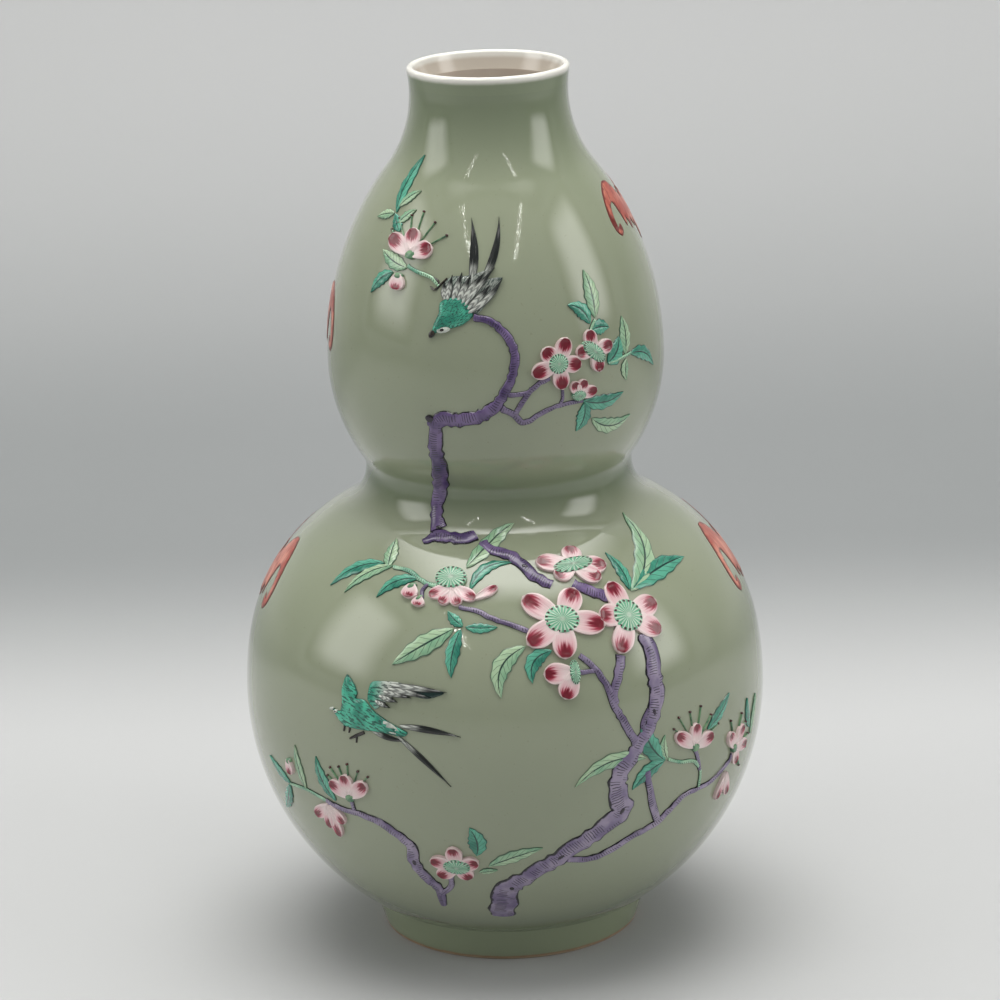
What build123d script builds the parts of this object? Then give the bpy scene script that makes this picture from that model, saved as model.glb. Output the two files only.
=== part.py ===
from build123d import *
import math
import os

os.makedirs("parts", exist_ok=True)

# Double gourd vase, thrown in sections and luted, with enamelled sprigs laid on its wall.
# Millimetres, +Z up, origin on the table under the middle of the foot.

# Heights of the body, each measured from the level below it
FOOT_HEIGHT = 14.0
LOWER_EQUATOR_RISE = 87.0
WAIST_RISE = 91.0
UPPER_EQUATOR_RISE = 44.0
NECK_RISE = 104.0
MOUTH_RISE = 10.0

# Radii of the body at those levels
FOOT_BOTTOM_RADIUS = 51.0
FOOT_TOP_RADIUS = 55.5
FOOT_STEP = 1.0
LOWER_BULB_RADIUS = 103.5
WAIST_RADIUS = 52.5
UPPER_BULB_RADIUS = 66.0
NECK_RADIUS = 30.7

# Radii of the arcs that the potter's rib leaves in the upright section
LOWER_CROWN_BEND = 127.0
LOWER_SHOULDER_BEND = 75.0
WAIST_LOWER_BEND = 17.5
WAIST_UPPER_BEND = 10.0
NECK_BEND = 48.0

# Thicknesses
WALL = 4.2
FLOOR = 8.0
FOOT_RING_WALL = 5.0
FOOT_ROUNDING = 1.2
LIP_HEIGHT = 7.0
LIP_THICKNESS = 2.8

# How far each kind of sprig stands out of the glazed wall
BRANCH_RELIEF = 1.3
TWIG_RELIEF = 0.9
LEAF_RELIEF = 0.6
PETAL_RELIEF = 0.9
BUD_RELIEF = 1.3
STAMEN_RELIEF = 1.3
BIRD_RELIEF = 1.0
FEATHER_RELIEF = 0.7
BAT_RELIEF = 0.35

# Size of the sprigs: the tables below give widths and bends as shares of these
SPRIG_BREADTH = 10.0
BAT_HALF_SPAN = 36.0
BAT_HALF_HEIGHT = 19.0
SMALLEST_SLIP = 0.9
SEAM_MARGIN = 0.01

# Shape of a petal, as shares of its length from the heart and of its width
CLAW_LENGTH_SHARE = 0.1
CLAW_WIDTH_SHARE = 0.4
CHEEK_LENGTH_SHARE = 0.62

# Levels
LOWER_EQUATOR = FOOT_HEIGHT + LOWER_EQUATOR_RISE
WAIST = LOWER_EQUATOR + WAIST_RISE
UPPER_EQUATOR = WAIST + UPPER_EQUATOR_RISE
NECK = UPPER_EQUATOR + NECK_RISE
HEIGHT = NECK + MOUTH_RISE
FLOOR_TOP = FOOT_HEIGHT + FLOOR
LIP_SEAM = HEIGHT - LIP_HEIGHT


def meeting_centre(centre_a, reach_a, centre_b, reach_b):
    """Centre at given distances from two others, on the side away from the axis."""
    apart = math.dist(centre_a, centre_b)
    along = (reach_a**2 - reach_b**2 + apart**2) / (2 * apart)
    aside = math.sqrt(reach_a**2 - along**2)
    ux = (centre_b[0] - centre_a[0]) / apart
    uz = (centre_b[1] - centre_a[1]) / apart
    return (centre_a[0] + along * ux + aside * uz, centre_a[1] + along * uz - aside * ux)


def tangent_bulge(hollow_radius, hollow_level, hollow_bend, bulge_radius, bulge_level):
    """Radius of the bulge's arc, upright at its equator and tangent to the hollow's arc."""
    rise = bulge_level - hollow_level
    offset = hollow_radius + hollow_bend - bulge_radius
    return (offset**2 + rise**2 - hollow_bend**2) / (2 * (bulge_radius - hollow_radius))


def slope_angle(centre_a, centre_b):
    """Angle above the horizontal of the wall's normal where two tangent arcs meet."""
    return math.atan2(centre_b[1] - centre_a[1], centre_b[0] - centre_a[0])


def body_arcs():
    """The outer wall from foot to mouth: arcs of centre, signed radius and normal angles.

    A hollow's radius is negative, so a point of an arc is its centre plus the radius times
    the outward normal, and the same sum with a thickness added gives a parallel wall.
    """
    bowl_start = FOOT_TOP_RADIUS + FOOT_STEP
    run = LOWER_BULB_RADIUS - bowl_start
    bowl_bend = (run**2 + LOWER_EQUATOR_RISE**2) / (2 * run)
    bowl = (LOWER_BULB_RADIUS - bowl_bend, LOWER_EQUATOR)
    crown = (LOWER_BULB_RADIUS - LOWER_CROWN_BEND, LOWER_EQUATOR)
    hollow_low = (WAIST_RADIUS + WAIST_LOWER_BEND, WAIST)
    shoulder = meeting_centre(
        crown,
        LOWER_CROWN_BEND - LOWER_SHOULDER_BEND,
        hollow_low,
        LOWER_SHOULDER_BEND + WAIST_LOWER_BEND,
    )
    hollow_high = (WAIST_RADIUS + WAIST_UPPER_BEND, WAIST)
    cup_bend = tangent_bulge(WAIST_RADIUS, WAIST, WAIST_UPPER_BEND, UPPER_BULB_RADIUS, UPPER_EQUATOR)
    cup = (UPPER_BULB_RADIUS - cup_bend, UPPER_EQUATOR)
    pear_bend = tangent_bulge(NECK_RADIUS, NECK, NECK_BEND, UPPER_BULB_RADIUS, UPPER_EQUATOR)
    pear = (UPPER_BULB_RADIUS - pear_bend, UPPER_EQUATOR)
    throat = (NECK_RADIUS + NECK_BEND, NECK)
    foot_angle = -math.asin(LOWER_EQUATOR_RISE / bowl_bend)
    crown_angle = slope_angle(crown, shoulder)
    shoulder_angle = slope_angle(shoulder, hollow_low)
    cup_angle = slope_angle(cup, hollow_high)
    pear_angle = slope_angle(pear, throat)
    mouth_angle = -math.asin(MOUTH_RISE / NECK_BEND)
    return [
        (bowl, bowl_bend, foot_angle, 0),
        (crown, LOWER_CROWN_BEND, 0, crown_angle),
        (shoulder, LOWER_SHOULDER_BEND, crown_angle, shoulder_angle),
        (hollow_low, -WAIST_LOWER_BEND, shoulder_angle, 0),
        (hollow_high, -WAIST_UPPER_BEND, 0, cup_angle),
        (cup, cup_bend, cup_angle, 0),
        (pear, pear_bend, 0, pear_angle),
        (throat, -NECK_BEND, pear_angle, mouth_angle),
    ]


ARCS = body_arcs()


def arc_point(arc, angle, lift):
    """Radius and height of a point of an arc whose wall is moved out by lift."""
    centre, bend, _, _ = arc
    reach = bend + lift
    return (centre[0] + reach * math.cos(angle), centre[1] + reach * math.sin(angle))


def wall_edges(low, high, lift):
    """Edges of the upright section between two levels, moved out of the wall by lift."""
    edges = []
    for arc in ARCS:
        centre, bend, first, last = arc
        bottom = max(arc_point(arc, first, lift)[1], low)
        top = min(arc_point(arc, last, lift)[1], high)
        if top - bottom <= SEAM_MARGIN:
            continue
        start = math.asin((bottom - centre[1]) / (bend + lift))
        end = math.asin((top - centre[1]) / (bend + lift))
        ends = [arc_point(arc, angle, lift) for angle in (start, (start + end) / 2, end)]
        edges.append(ThreePointArc(*ends))
    return edges


def turned(edges):
    """Full turn of a closed section drawn as radius and height."""
    return revolve(Plane.XZ * make_face(edges), Axis.Z)


def ring_section(low, high, inner_lift, outer_lift):
    """Wall between two levels, closed by flat seams."""
    outer = wall_edges(low, high, outer_lift)
    inner = wall_edges(low, high, inner_lift)
    seams = [Line(inner[0] @ 0, outer[0] @ 0), Line(inner[-1] @ 1, outer[-1] @ 1)]
    return turned(outer + inner + seams)


def foot_ring():
    """Turned foot: a tapered ring, rounded where it stands and hollow under the floor."""
    bore = FOOT_BOTTOM_RADIUS - FOOT_RING_WALL
    corners = [(bore, 0), (FOOT_BOTTOM_RADIUS, 0), (FOOT_TOP_RADIUS, FOOT_HEIGHT), (bore, FOOT_HEIGHT)]
    ring = turned([Polyline(*corners, close=True)])
    standing = ring.edges().filter_by(GeomType.CIRCLE).group_by(Axis.Z)[0]
    return fillet(standing, FOOT_ROUNDING)


def lower_bulb_base():
    """Bowl of the lower bulb, with the floor of the vase."""
    outer = wall_edges(FOOT_HEIGHT, LOWER_EQUATOR, 0)
    inner = wall_edges(FLOOR_TOP, LOWER_EQUATOR, -WALL)
    closing = Polyline(inner[0] @ 0, (0, FLOOR_TOP), (0, FOOT_HEIGHT), outer[0] @ 0)
    return turned(outer + inner + [closing, Line(inner[-1] @ 1, outer[-1] @ 1)])


def lip():
    """Rim of the mouth: it thins from the neck's wall and is rounded over the top."""
    rounding = LIP_THICKNESS / 2
    outer = wall_edges(LIP_SEAM, HEIGHT - rounding, 0)
    inner_start = wall_edges(LIP_SEAM, HEIGHT, -WALL)[0] @ 0
    outer_end = outer[-1] @ 1
    crest = (outer_end.X - rounding, HEIGHT)
    inner_end = (outer_end.X - LIP_THICKNESS, HEIGHT - rounding)
    over = ThreePointArc(outer_end, crest, inner_end)
    bore = Line(inner_end, inner_start)
    return turned(outer + [over, bore, Line(inner_start, outer[0] @ 0)])


def wall_normal(share):
    """Radius, height and outward normal angle of the wall at a share of the height."""
    level = HEIGHT * share
    for arc in ARCS:
        centre, bend, first, last = arc
        if arc_point(arc, last, 0)[1] >= level:
            angle = math.asin((level - centre[1]) / bend)
            return arc_point(arc, angle, 0)[0], level, angle
    return NECK_RADIUS, level, 0


def wall_point(azimuth, share):
    """Point of the wall; azimuth 0 is the front and grows towards +X."""
    radius, level, _ = wall_normal(share)
    turn = math.radians(azimuth)
    return Vector(radius * math.sin(turn), -radius * math.cos(turn), level)


def wall_plane(azimuth, share):
    """Plane that touches the wall, with its x level and its y up the wall."""
    _, _, angle = wall_normal(share)
    turn = math.radians(azimuth)
    level_way = Vector(math.cos(turn), math.sin(turn), 0)
    outward = Vector(math.cos(angle) * math.sin(turn), -math.cos(angle) * math.cos(turn), math.sin(angle))
    return Plane(origin=wall_point(azimuth, share), x_dir=level_way, z_dir=outward)


class Sprig:
    """One moulded piece before it is laid on the wall: a straight cutter and its place."""

    def __init__(self, node, relief, places, draw):
        middle = [sum(values) / len(places) for values in zip(*places)]
        plane = wall_plane(*middle)
        corners = [wall_point(*place) for place in places]
        flat = [plane.to_local_coords(corner) for corner in corners]
        face = plane * make_face(draw([(corner.X, corner.Y) for corner in flat]))
        self.node = node
        self.relief = relief
        self.middle = plane.origin
        self.reach = max((corner - plane.origin).length for corner in corners) + WALL
        self.cutter = extrude(face, amount=WAIST_RADIUS / 2, both=True)

    def meets(self, other):
        """Whether the two pieces can lie over each other."""
        return (self.middle - other.middle).length < self.reach + other.reach


def leaf_outline(width, bend):
    """Lens of two arcs from stalk to tip; bend bows it to the left of its way."""

    def draw(flat):
        (x0, y0), (x1, y1) = flat
        span = math.dist(*flat)
        side = ((y0 - y1) / span, (x1 - x0) / span)
        bows = [bend + width / 2, bend - width / 2]
        middles = [((x0 + x1) / 2 + side[0] * bow, (y0 + y1) / 2 + side[1] * bow) for bow in bows]
        return [ThreePointArc(flat[0], middle, flat[1]) for middle in middles]

    return draw


def petal_outline(width):
    """Petal from the heart of the flower: narrow at its claw and round at its tip."""

    def draw(flat):
        heart, tip = Vector(*flat[0]), Vector(*flat[1])
        way = tip - heart
        side = way.normalized().rotate(Axis.Z, 90) * (width / 2)
        claw, cheek = heart + way * CLAW_LENGTH_SHARE, heart + way * CHEEK_LENGTH_SHARE
        root = Line(claw - side * CLAW_WIDTH_SHARE, claw + side * CLAW_WIDTH_SHARE)
        crown = ThreePointArc(cheek + side, tip, cheek - side)
        return [root, Line(root @ 1, crown @ 0), crown, Line(crown @ 1, root @ 0)]

    return draw


def ribbon_outline(widths):
    """Branch along its middle line, with a width at each point."""

    def draw(flat):
        left, right = [], []
        for index, (x, y) in enumerate(flat):
            before = flat[max(index - 1, 0)]
            after = flat[min(index + 1, len(flat) - 1)]
            length = math.dist(before, after)
            side = ((before[1] - after[1]) / length, (after[0] - before[0]) / length)
            half = widths[index] / 2
            left.append((x + side[0] * half, y + side[1] * half))
            right.append((x - side[0] * half, y - side[1] * half))
        return [Polyline(*left, *reversed(right), close=True)]

    return draw


def round_outline(half_width, half_height, turn=0):
    """Oval pad round one place, turned anticlockwise by degrees."""

    def draw(flat):
        return (Pos(*flat[0]) * Rot(0, 0, turn) * Ellipse(half_width, half_height)).edges()

    return draw


def patch_outline(flat):
    """Straight-sided patch through its corners."""
    return [Polyline(*flat, close=True)]


def bat_outline(size_share):
    """Bat with its wings spread: curled wing tips, scalloped trailing edges and a long tail."""

    def draw(flat):
        x0, y0 = flat[0]
        half_span = BAT_HALF_SPAN * size_share
        half_height = BAT_HALF_HEIGHT * size_share
        right = [(x0 + half_span * a, y0 + half_height * b) for a, b in BAT_EDGE_SHARES]
        left = [(x0 - half_span * a, y0 + half_height * b) for a, b in BAT_EDGE_SHARES[1:-1]]
        return [Polyline(*right, *reversed(left), close=True)]

    return draw


# Half of a bat's edge, as shares of half its span and height: crown of the head, ear, neck,
# top of the wing, its outer edge, the curl at its end, the scallops behind and the tail
BAT_EDGE_SHARES = [
    (0, 0.5), (0.05, 0.62), (0.12, 0.36), (0.24, 0.62), (0.42, 0.95), (0.62, 1), (0.82, 0.78),
    (0.95, 0.4), (1, 0), (0.96, -0.34), (0.86, -0.5), (0.77, -0.36), (0.79, -0.16), (0.88, -0.26),
    (0.87, 0.08), (0.79, 0.36), (0.68, 0.42), (0.62, 0.06), (0.56, -0.34), (0.47, -0.12),
    (0.38, -0.5), (0.28, -0.22), (0.19, -0.52), (0.1, -0.34), (0.05, -0.72), (0, -1),
]

# Places on the wall: azimuth in degrees and share of the height, read off the vase.
# The pad of stamens at the heart of each flower: place, half width, half height, turn
STAMEN_SHARES = {
    "upper_stamens": [
        (20.6, 0.7035, 0.38, 0.38, 0),
        (34, 0.7105, 0.6, 0.27, -42),
        (27.6, 0.6655, 0.28, 0.2, 0),
    ],
    "lower_stamens": [
        (21.2, 0.4815, 0.82, 0.31, 6),
        (14.2, 0.4365, 0.66, 0.53, -8),
        (31.1, 0.4305, 0.59, 0.62, 0),
        (15.4, 0.385, 0.2, 0.46, 0),
        (-14.5, 0.4755, 0.6, 0.46, 0),
        (-12.5, 0.163, 0.52, 0.37, 0),
    ],
}

# Petals: heart of the flower, width, then the place of each tip
PETAL_SHARES = {
    "upper_petals": [
        (
            (20.6, 0.7035), 0.62,
            [(15.6, 0.721), (24.3, 0.7305), (28.9, 0.6995), (21.8, 0.6745), (11.4, 0.694)],
        ),
        ((34, 0.7105), 0.54, [(32.6, 0.735), (42, 0.7155), (36.2, 0.6875), (27.2, 0.713)]),
        ((27.6, 0.6655), 0.44, [(25.6, 0.6815), (30, 0.6825), (34.6, 0.6695)]),
        ((-34, 0.8185), 0.66, [(-46.5, 0.833), (-35, 0.844), (-24.6, 0.8265)]),
    ],
    "lower_petals": [
        ((21.2, 0.4815), 0.74, [(22.8, 0.4965), (31.4, 0.4775), (27.8, 0.4665), (15, 0.4735), (10.2, 0.488)]),
        ((14.2, 0.4365), 0.88, [(5, 0.4595), (19.2, 0.463), (24.8, 0.4265), (13.7, 0.3985), (5.2, 0.416)]),
        (
            (31.1, 0.4305), 0.84,
            [(29.4, 0.4635), (40.6, 0.438), (38.9, 0.4085), (26.4, 0.3965), (23.6, 0.436)],
        ),
        ((15.2, 0.385), 0.76, [(8.4, 0.386), (12.6, 0.3585)]),
        ((-13.5, 0.468), 0.5, [(-19.8, 0.4595), (-16.2, 0.4525), (-11.4, 0.452), (-6.9, 0.458)]),
        ((-7.2, 0.459), 0.36, [(-1.2, 0.469)]),
        (
            (-12.5, 0.163), 0.62,
            [(-13, 0.189), (-7.2, 0.17), (-9.5, 0.1455), (-17.5, 0.1465), (-18.8, 0.1695)],
        ),
        ((-36.2, 0.2375), 0.6, [(-41.6, 0.2495), (-37.2, 0.263), (-31.4, 0.257)]),
        ((-43, 0.2175), 0.52, [(-48.8, 0.1985), (-45, 0.187), (-42.2, 0.178), (-39.2, 0.1995)]),
        ((43.9, 0.2765), 0.56, [(38.2, 0.297), (44.3, 0.3025), (49.9, 0.2815)]),
        ((59, 0.2505), 0.5, [(56.2, 0.272), (62.8, 0.2725), (65.2, 0.2465), (60.6, 0.229)]),
        ((56.6, 0.2235), 0.42, [(54.6, 0.1935), (59.4, 0.1925)]),
    ],
}

# Buds: place, half width, half height, turn
BUD_SHARES = {
    "upper_buds": [(-37.5, 0.788, 0.34, 0.31, 0)],
    "lower_buds": [
        (-25.2, 0.4615, 0.34, 0.29, 30),
        (-22.1, 0.4535, 0.26, 0.2, 40),
        (-55, 0.2485, 0.24, 0.32, 0),
    ],
}

# Birds: patches of corners, and long feathers from root to tip with width and bend
BIRD_BODY_SHARES = {
    "perched_bird_body": [
        [
            (-21.9, 0.7385), (-21.1, 0.75), (-19.6, 0.761), (-19.4, 0.7715), (-16.6, 0.7765), (-12, 0.7785),
            (-8.2, 0.769), (-7.6, 0.758), (-11.7, 0.7485), (-16.8, 0.744), (-20, 0.7405),
        ],
    ],
    "flying_bird_body": [
        [
            (-36.9, 0.375), (-37.8, 0.358), (-37.5, 0.3465), (-37.8, 0.3345), (-39.9, 0.335), (-38.5, 0.3265),
            (-36.6, 0.3195), (-33.2, 0.3185), (-27.5, 0.3195), (-22.3, 0.3175), (-21.3, 0.323),
            (-25.3, 0.3315), (-29.2, 0.3415), (-31.7, 0.352), (-33.9, 0.352), (-33.6, 0.3575),
            (-34.6, 0.366),
        ],
    ],
}
BIRD_WING_SHARES = {
    "perched_bird_wings": [
        [
            (-19.1, 0.779), (-19, 0.789), (-16, 0.7985), (-9.6, 0.8), (0.3, 0.8075), (-3.4, 0.797),
            (3.2, 0.7975), (0.3, 0.783), (-4.6, 0.7645), (-7.2, 0.759), (-7.8, 0.7705), (-11.8, 0.7805),
            (-16.4, 0.7785),
        ],
    ],
    "flying_bird_wings": [
        [
            (-31, 0.353), (-30.6, 0.37), (-29, 0.374), (-23.8, 0.3755), (-20.9, 0.3725), (-13.2, 0.3685),
            (-17, 0.361), (-22, 0.3635), (-25, 0.359), (-27.5, 0.349), (-28.9, 0.3435),
        ],
    ],
}
BIRD_TAIL_SHARES = {
    "perched_bird_tail": [
        ((-8.4, 0.8), (-9.3, 0.8575), 0.3, -0.13),
        ((-5, 0.8), (3.1, 0.8585), 0.28, -0.16),
    ],
    "flying_bird_tail": [
        ((-23, 0.3315), (-9.6, 0.3215), 0.22, 0.07),
        ((-23, 0.316), (-12, 0.2645), 0.2, 0.06),
        ((-28.4, 0.3175), (-22.6, 0.312), 0.2, -0.06),
    ],
}

# Bats on both sides: place of the middle, size
BAT_SHARES = {
    "upper_bats": [(90, 0.836, 0.76), (-102, 0.714, 0.9)],
    "lower_bats": [(98, 0.425, 1), (-98, 0.42, 1)],
}

# Leaves: stalk, tip, width, bend
LEAF_SHARES = {
    "upper_dark_leaves": [
        ((-48, 0.8555), (-44.5, 0.914), 0.48, 0.26),
        ((-42.5, 0.838), (-48.5, 0.8545), 0.42, 0),
        ((-40.5, 0.7975), (-49.6, 0.7725), 0.46, -0.16),
        ((33.8, 0.74), (26, 0.7635), 0.52, -0.22),
        ((34.4, 0.7335), (41.8, 0.732), 0.54, 0.08),
        ((39.6, 0.695), (45.6, 0.72), 0.76, -0.18),
        ((51, 0.6975), (65.6, 0.6735), 0.5, 0.26),
        ((29.4, 0.6585), (46.8, 0.658), 0.54, -0.22),
        ((29.8, 0.6555), (27.4, 0.624), 0.56, 0.16),
    ],
    "upper_pale_leaves": [
        ((-47.6, 0.8615), (-37.8, 0.8795), 0.36, 0.1),
        ((-49.2, 0.8545), (-60, 0.847), 0.36, -0.04),
        ((-44.6, 0.8455), (-37, 0.8615), 0.34, 0.06),
        ((-34.5, 0.804), (-48.5, 0.818), 0.54, 0.08),
        ((36.3, 0.7455), (35.2, 0.7965), 0.58, -0.09),
        ((48.2, 0.699), (48.5, 0.7405), 0.56, -0.08),
        ((48.5, 0.6935), (48.2, 0.67), 0.38, -0.08),
        ((33.4, 0.6355), (52, 0.628), 0.58, -0.36),
    ],
    "lower_dark_leaves": [
        ((-37, 0.4815), (-51, 0.4525), 0.52, -0.38),
        ((-24.2, 0.473), (-34.4, 0.4525), 0.48, -0.32),
        ((-10.2, 0.4315), (-11.8, 0.384), 0.5, -0.14),
        ((-9.2, 0.4335), (-1.4, 0.4335), 0.36, -0.04),
        ((-9.8, 0.434), (-14, 0.4475), 0.38, 0.04),
        ((-8.8, 0.4665), (3.2, 0.4885), 0.42, 0.46),
        ((10.9, 0.4085), (6, 0.3775), 0.56, -0.4),
        ((34.7, 0.453), (33.4, 0.487), 0.46, -0.16),
        ((35.3, 0.4525), (59.8, 0.463), 0.8, 0.26),
        ((35.5, 0.2705), (30, 0.3205), 0.7, 0.22),
        ((35.3, 0.27), (27.4, 0.2445), 0.56, -0.16),
        ((48.2, 0.289), (56.9, 0.318), 0.46, -0.08),
        ((67, 0.2605), (65.4, 0.298), 0.4, 0.08),
        ((-7.6, 0.178), (-8.7, 0.2145), 0.64, -0.16),
        ((-40.8, 0.226), (-45.2, 0.2745), 0.52, 0.18),
        ((-56.5, 0.2255), (-64.6, 0.247), 0.46, 0.1),
        ((-57, 0.224), (-64.5, 0.182), 0.48, 0.12),
    ],
    "lower_pale_leaves": [
        ((-33.6, 0.481), (-45, 0.4505), 0.46, -0.32),
        ((-35, 0.479), (-38.5, 0.501), 0.52, 0),
        ((-12, 0.4315), (-25.8, 0.3925), 0.72, -0.08),
        ((-10.6, 0.4845), (5.4, 0.52), 0.66, 0.18),
        ((4.9, 0.4145), (-0.9, 0.3635), 0.66, -0.52),
        ((34.9, 0.4515), (53.6, 0.5105), 0.8, -0.32),
        ((30.7, 0.2785), (14.2, 0.259), 0.52, -0.5),
        ((36.2, 0.2705), (35.6, 0.2995), 0.34, 0.14),
        ((68, 0.2515), (71, 0.294), 0.4, -0.06),
        ((-5, 0.1635), (7.4, 0.186), 0.52, 0.06),
        ((-7.4, 0.1545), (-3, 0.1575), 0.28, 0),
        ((-50.2, 0.2285), (-52.2, 0.2785), 0.42, 0.08),
    ],
}

# Branches and twigs: points of the middle line with a width at each
BRANCH_SHARES = {
    "upper_branch": [
        [
            (-7.2, 0.7575, 0.3), (-3.2, 0.7545, 0.3), (0, 0.75, 0.32),
            (3.1, 0.7395, 0.34), (5.3, 0.729, 0.36),
            (6.2, 0.716, 0.36), (5.8, 0.7025, 0.36), (4.6, 0.69, 0.36),
            (2.8, 0.678, 0.38), (0.6, 0.666, 0.44),
        ],
        [
            (0.6, 0.666, 0.44), (-1.8, 0.6575, 0.52), (-5.4, 0.6505, 0.54),
            (-9.4, 0.6465, 0.56), (-13.4, 0.645, 0.6),
            (-17.6, 0.6455, 0.62), (-21.4, 0.6405, 0.66), (-23.6, 0.6435, 0.34),
        ],
        [
            (-20.6, 0.6435, 0.56), (-22.2, 0.6225, 0.6), (-22.6, 0.6065, 0.62), (-22.8, 0.59, 0.66),
            (-23.9, 0.57, 0.7), (-26, 0.5525, 0.64),
        ],
        [(-26, 0.5525, 0.64), (-26.9, 0.5375, 0.54), (-26.4, 0.5225, 0.54), (-24.2, 0.5135, 0.7)],
        [
            (-28, 0.5015, 0.26), (-24, 0.507, 0.68), (-18.6, 0.5075, 0.54),
            (-13, 0.507, 0.62), (-9.4, 0.5105, 0.5),
        ],
    ],
    "crossing_branch": [
        [
            (-3.4, 0.4985, 0.48), (2.6, 0.4945, 0.54), (6.4, 0.4855, 0.5),
            (9.3, 0.4765, 0.5), (13.5, 0.468, 0.42),
        ],
        [(19.5, 0.467, 0.44), (22.4, 0.4605, 0.48), (25.4, 0.4555, 0.48), (29.5, 0.447, 0.44)],
    ],
    "main_branch": [
        [
            (34.2, 0.411, 0.66), (34.6, 0.39, 0.68), (34.4, 0.3665, 0.72), (34.3, 0.3505, 0.74),
            (33.4, 0.3305, 0.66), (31.6, 0.3125, 0.56), (29.4, 0.2985, 0.54), (27.4, 0.2855, 0.64),
        ],
        [
            (27.4, 0.2855, 0.64), (25, 0.272, 0.76), (23.8, 0.2545, 0.8), (24.5, 0.2365, 0.84),
            (25.4, 0.222, 0.94), (22.6, 0.2075, 0.84), (18.9, 0.195, 0.8), (15, 0.1825, 0.8),
        ],
        [
            (15, 0.1825, 0.8), (11.2, 0.169, 0.8), (7.7, 0.158, 0.78), (3.9, 0.1445, 0.78),
            (0, 0.1325, 0.96), (-1.8, 0.1125, 1.16), (-2.8, 0.0835, 0.96),
        ],
    ],
    "side_branch": [
        [
            (57.8, 0.2365, 0.2), (51.2, 0.2225, 0.22), (46.3, 0.2205, 0.22), (42, 0.2185, 0.26),
            (39.4, 0.2095, 0.3), (36.3, 0.1975, 0.34), (33.7, 0.1905, 0.32), (28.5, 0.1825, 0.3),
        ],
        [(28.5, 0.1825, 0.3), (23.6, 0.1695, 0.34), (19, 0.1635, 0.32), (13.4, 0.1665, 0.3)],
        [(30.9, 0.263, 0.3), (32.9, 0.2215, 0.36), (35.2, 0.1985, 0.34)],
    ],
    "left_branch": [
        [
            (-43.8, 0.222, 0.22), (-38.7, 0.2165, 0.24), (-35, 0.2165, 0.28), (-30, 0.2105, 0.36),
            (-26.3, 0.2, 0.4), (-23, 0.1845, 0.48),
        ],
        [
            (-23, 0.1845, 0.48), (-23.1, 0.165, 0.54), (-22.2, 0.149, 0.52), (-20.4, 0.136, 0.52),
            (-18.8, 0.1245, 0.46), (-19.2, 0.098, 0.28),
        ],
        [(-14.4, 0.1475, 0.24), (-15.4, 0.13, 0.26), (-18.6, 0.1165, 0.28)],
    ],
}
TWIG_SHARES = {
    "upper_twigs": [
        [(-34.2, 0.806, 0.16), (-30, 0.801, 0.16), (-24, 0.797, 0.16), (-20.4, 0.7885, 0.14)],
        [(1.4, 0.6585, 0.3), (5, 0.651, 0.26), (8.7, 0.641, 0.26), (13.8, 0.6485, 0.22), (18.3, 0.655, 0.2)],
        [(18.3, 0.655, 0.2), (23.5, 0.6575, 0.18), (29.4, 0.6585, 0.16)],
        [(3.4, 0.6735, 0.22), (9.8, 0.674, 0.2), (13.8, 0.6835, 0.22), (17.6, 0.688, 0.2)],
        [(5.6, 0.65, 0.22), (7.4, 0.6595, 0.22), (11.4, 0.679, 0.2)],
        [(20.4, 0.6555, 0.16), (22, 0.664, 0.14), (21.8, 0.676, 0.12)],
        [(36.2, 0.7435, 0.12), (34.5, 0.737, 0.14), (33.4, 0.731, 0.12)],
        [(40, 0.694, 0.14), (44.5, 0.695, 0.14), (51, 0.6985, 0.14)],
    ],
    "lower_twigs": [
        [
            (-33.4, 0.48, 0.18), (-27.8, 0.4785, 0.2), (-23.3, 0.4725, 0.2),
            (-19.6, 0.469, 0.22), (-16, 0.469, 0.22),
        ],
        [(-20.8, 0.4695, 0.18), (-22, 0.464, 0.18), (-21.3, 0.457, 0.14)],
        [
            (-11.2, 0.4515, 0.18), (-6.5, 0.448, 0.22), (-3.2, 0.4425, 0.22),
            (1.3, 0.436, 0.22), (5.8, 0.429, 0.22),
        ],
        [
            (28.2, 0.2985, 0.38), (26.6, 0.3155, 0.34), (25, 0.3305, 0.32), (23.8, 0.344, 0.32),
            (22.2, 0.369, 0.28), (19.6, 0.39, 0.26), (17, 0.401, 0.22),
        ],
        [(24, 0.3455, 0.3), (24, 0.358, 0.34), (25.4, 0.3755, 0.4), (27, 0.3945, 0.44)],
        [(30.4, 0.304, 0.26), (30.2, 0.318, 0.24), (31.8, 0.333, 0.22)],
        [(16.4, 0.3845, 0.22), (20, 0.3835, 0.2)],
        [
            (36.4, 0.2705, 0.16), (40, 0.262, 0.16), (43.8, 0.258, 0.18),
            (46.3, 0.2435, 0.16), (46.6, 0.223, 0.14),
        ],
        [(43.9, 0.275, 0.24), (45, 0.262, 0.2), (46.2, 0.2445, 0.18)],
        [(57.8, 0.2365, 0.18), (58.6, 0.243, 0.18)],
        [(-43.8, 0.222, 0.18), (-50, 0.2275, 0.16), (-56.6, 0.225, 0.14)],
        [(-36.2, 0.234, 0.22), (-36, 0.2185, 0.18)],
    ],
}


def oval_sprigs(table, relief):
    """Pads and buds."""
    for node, rows in table.items():
        for azimuth, share, half_width, half_height, turn in rows:
            draw = round_outline(half_width * SPRIG_BREADTH, half_height * SPRIG_BREADTH, turn)
            yield Sprig(node, relief, [(azimuth, share)], draw)


def petal_sprigs():
    """Petals of every flower."""
    for node, flowers in PETAL_SHARES.items():
        for heart, width, tips in flowers:
            for tip in tips:
                yield Sprig(node, PETAL_RELIEF, [heart, tip], petal_outline(width * SPRIG_BREADTH))


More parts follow.
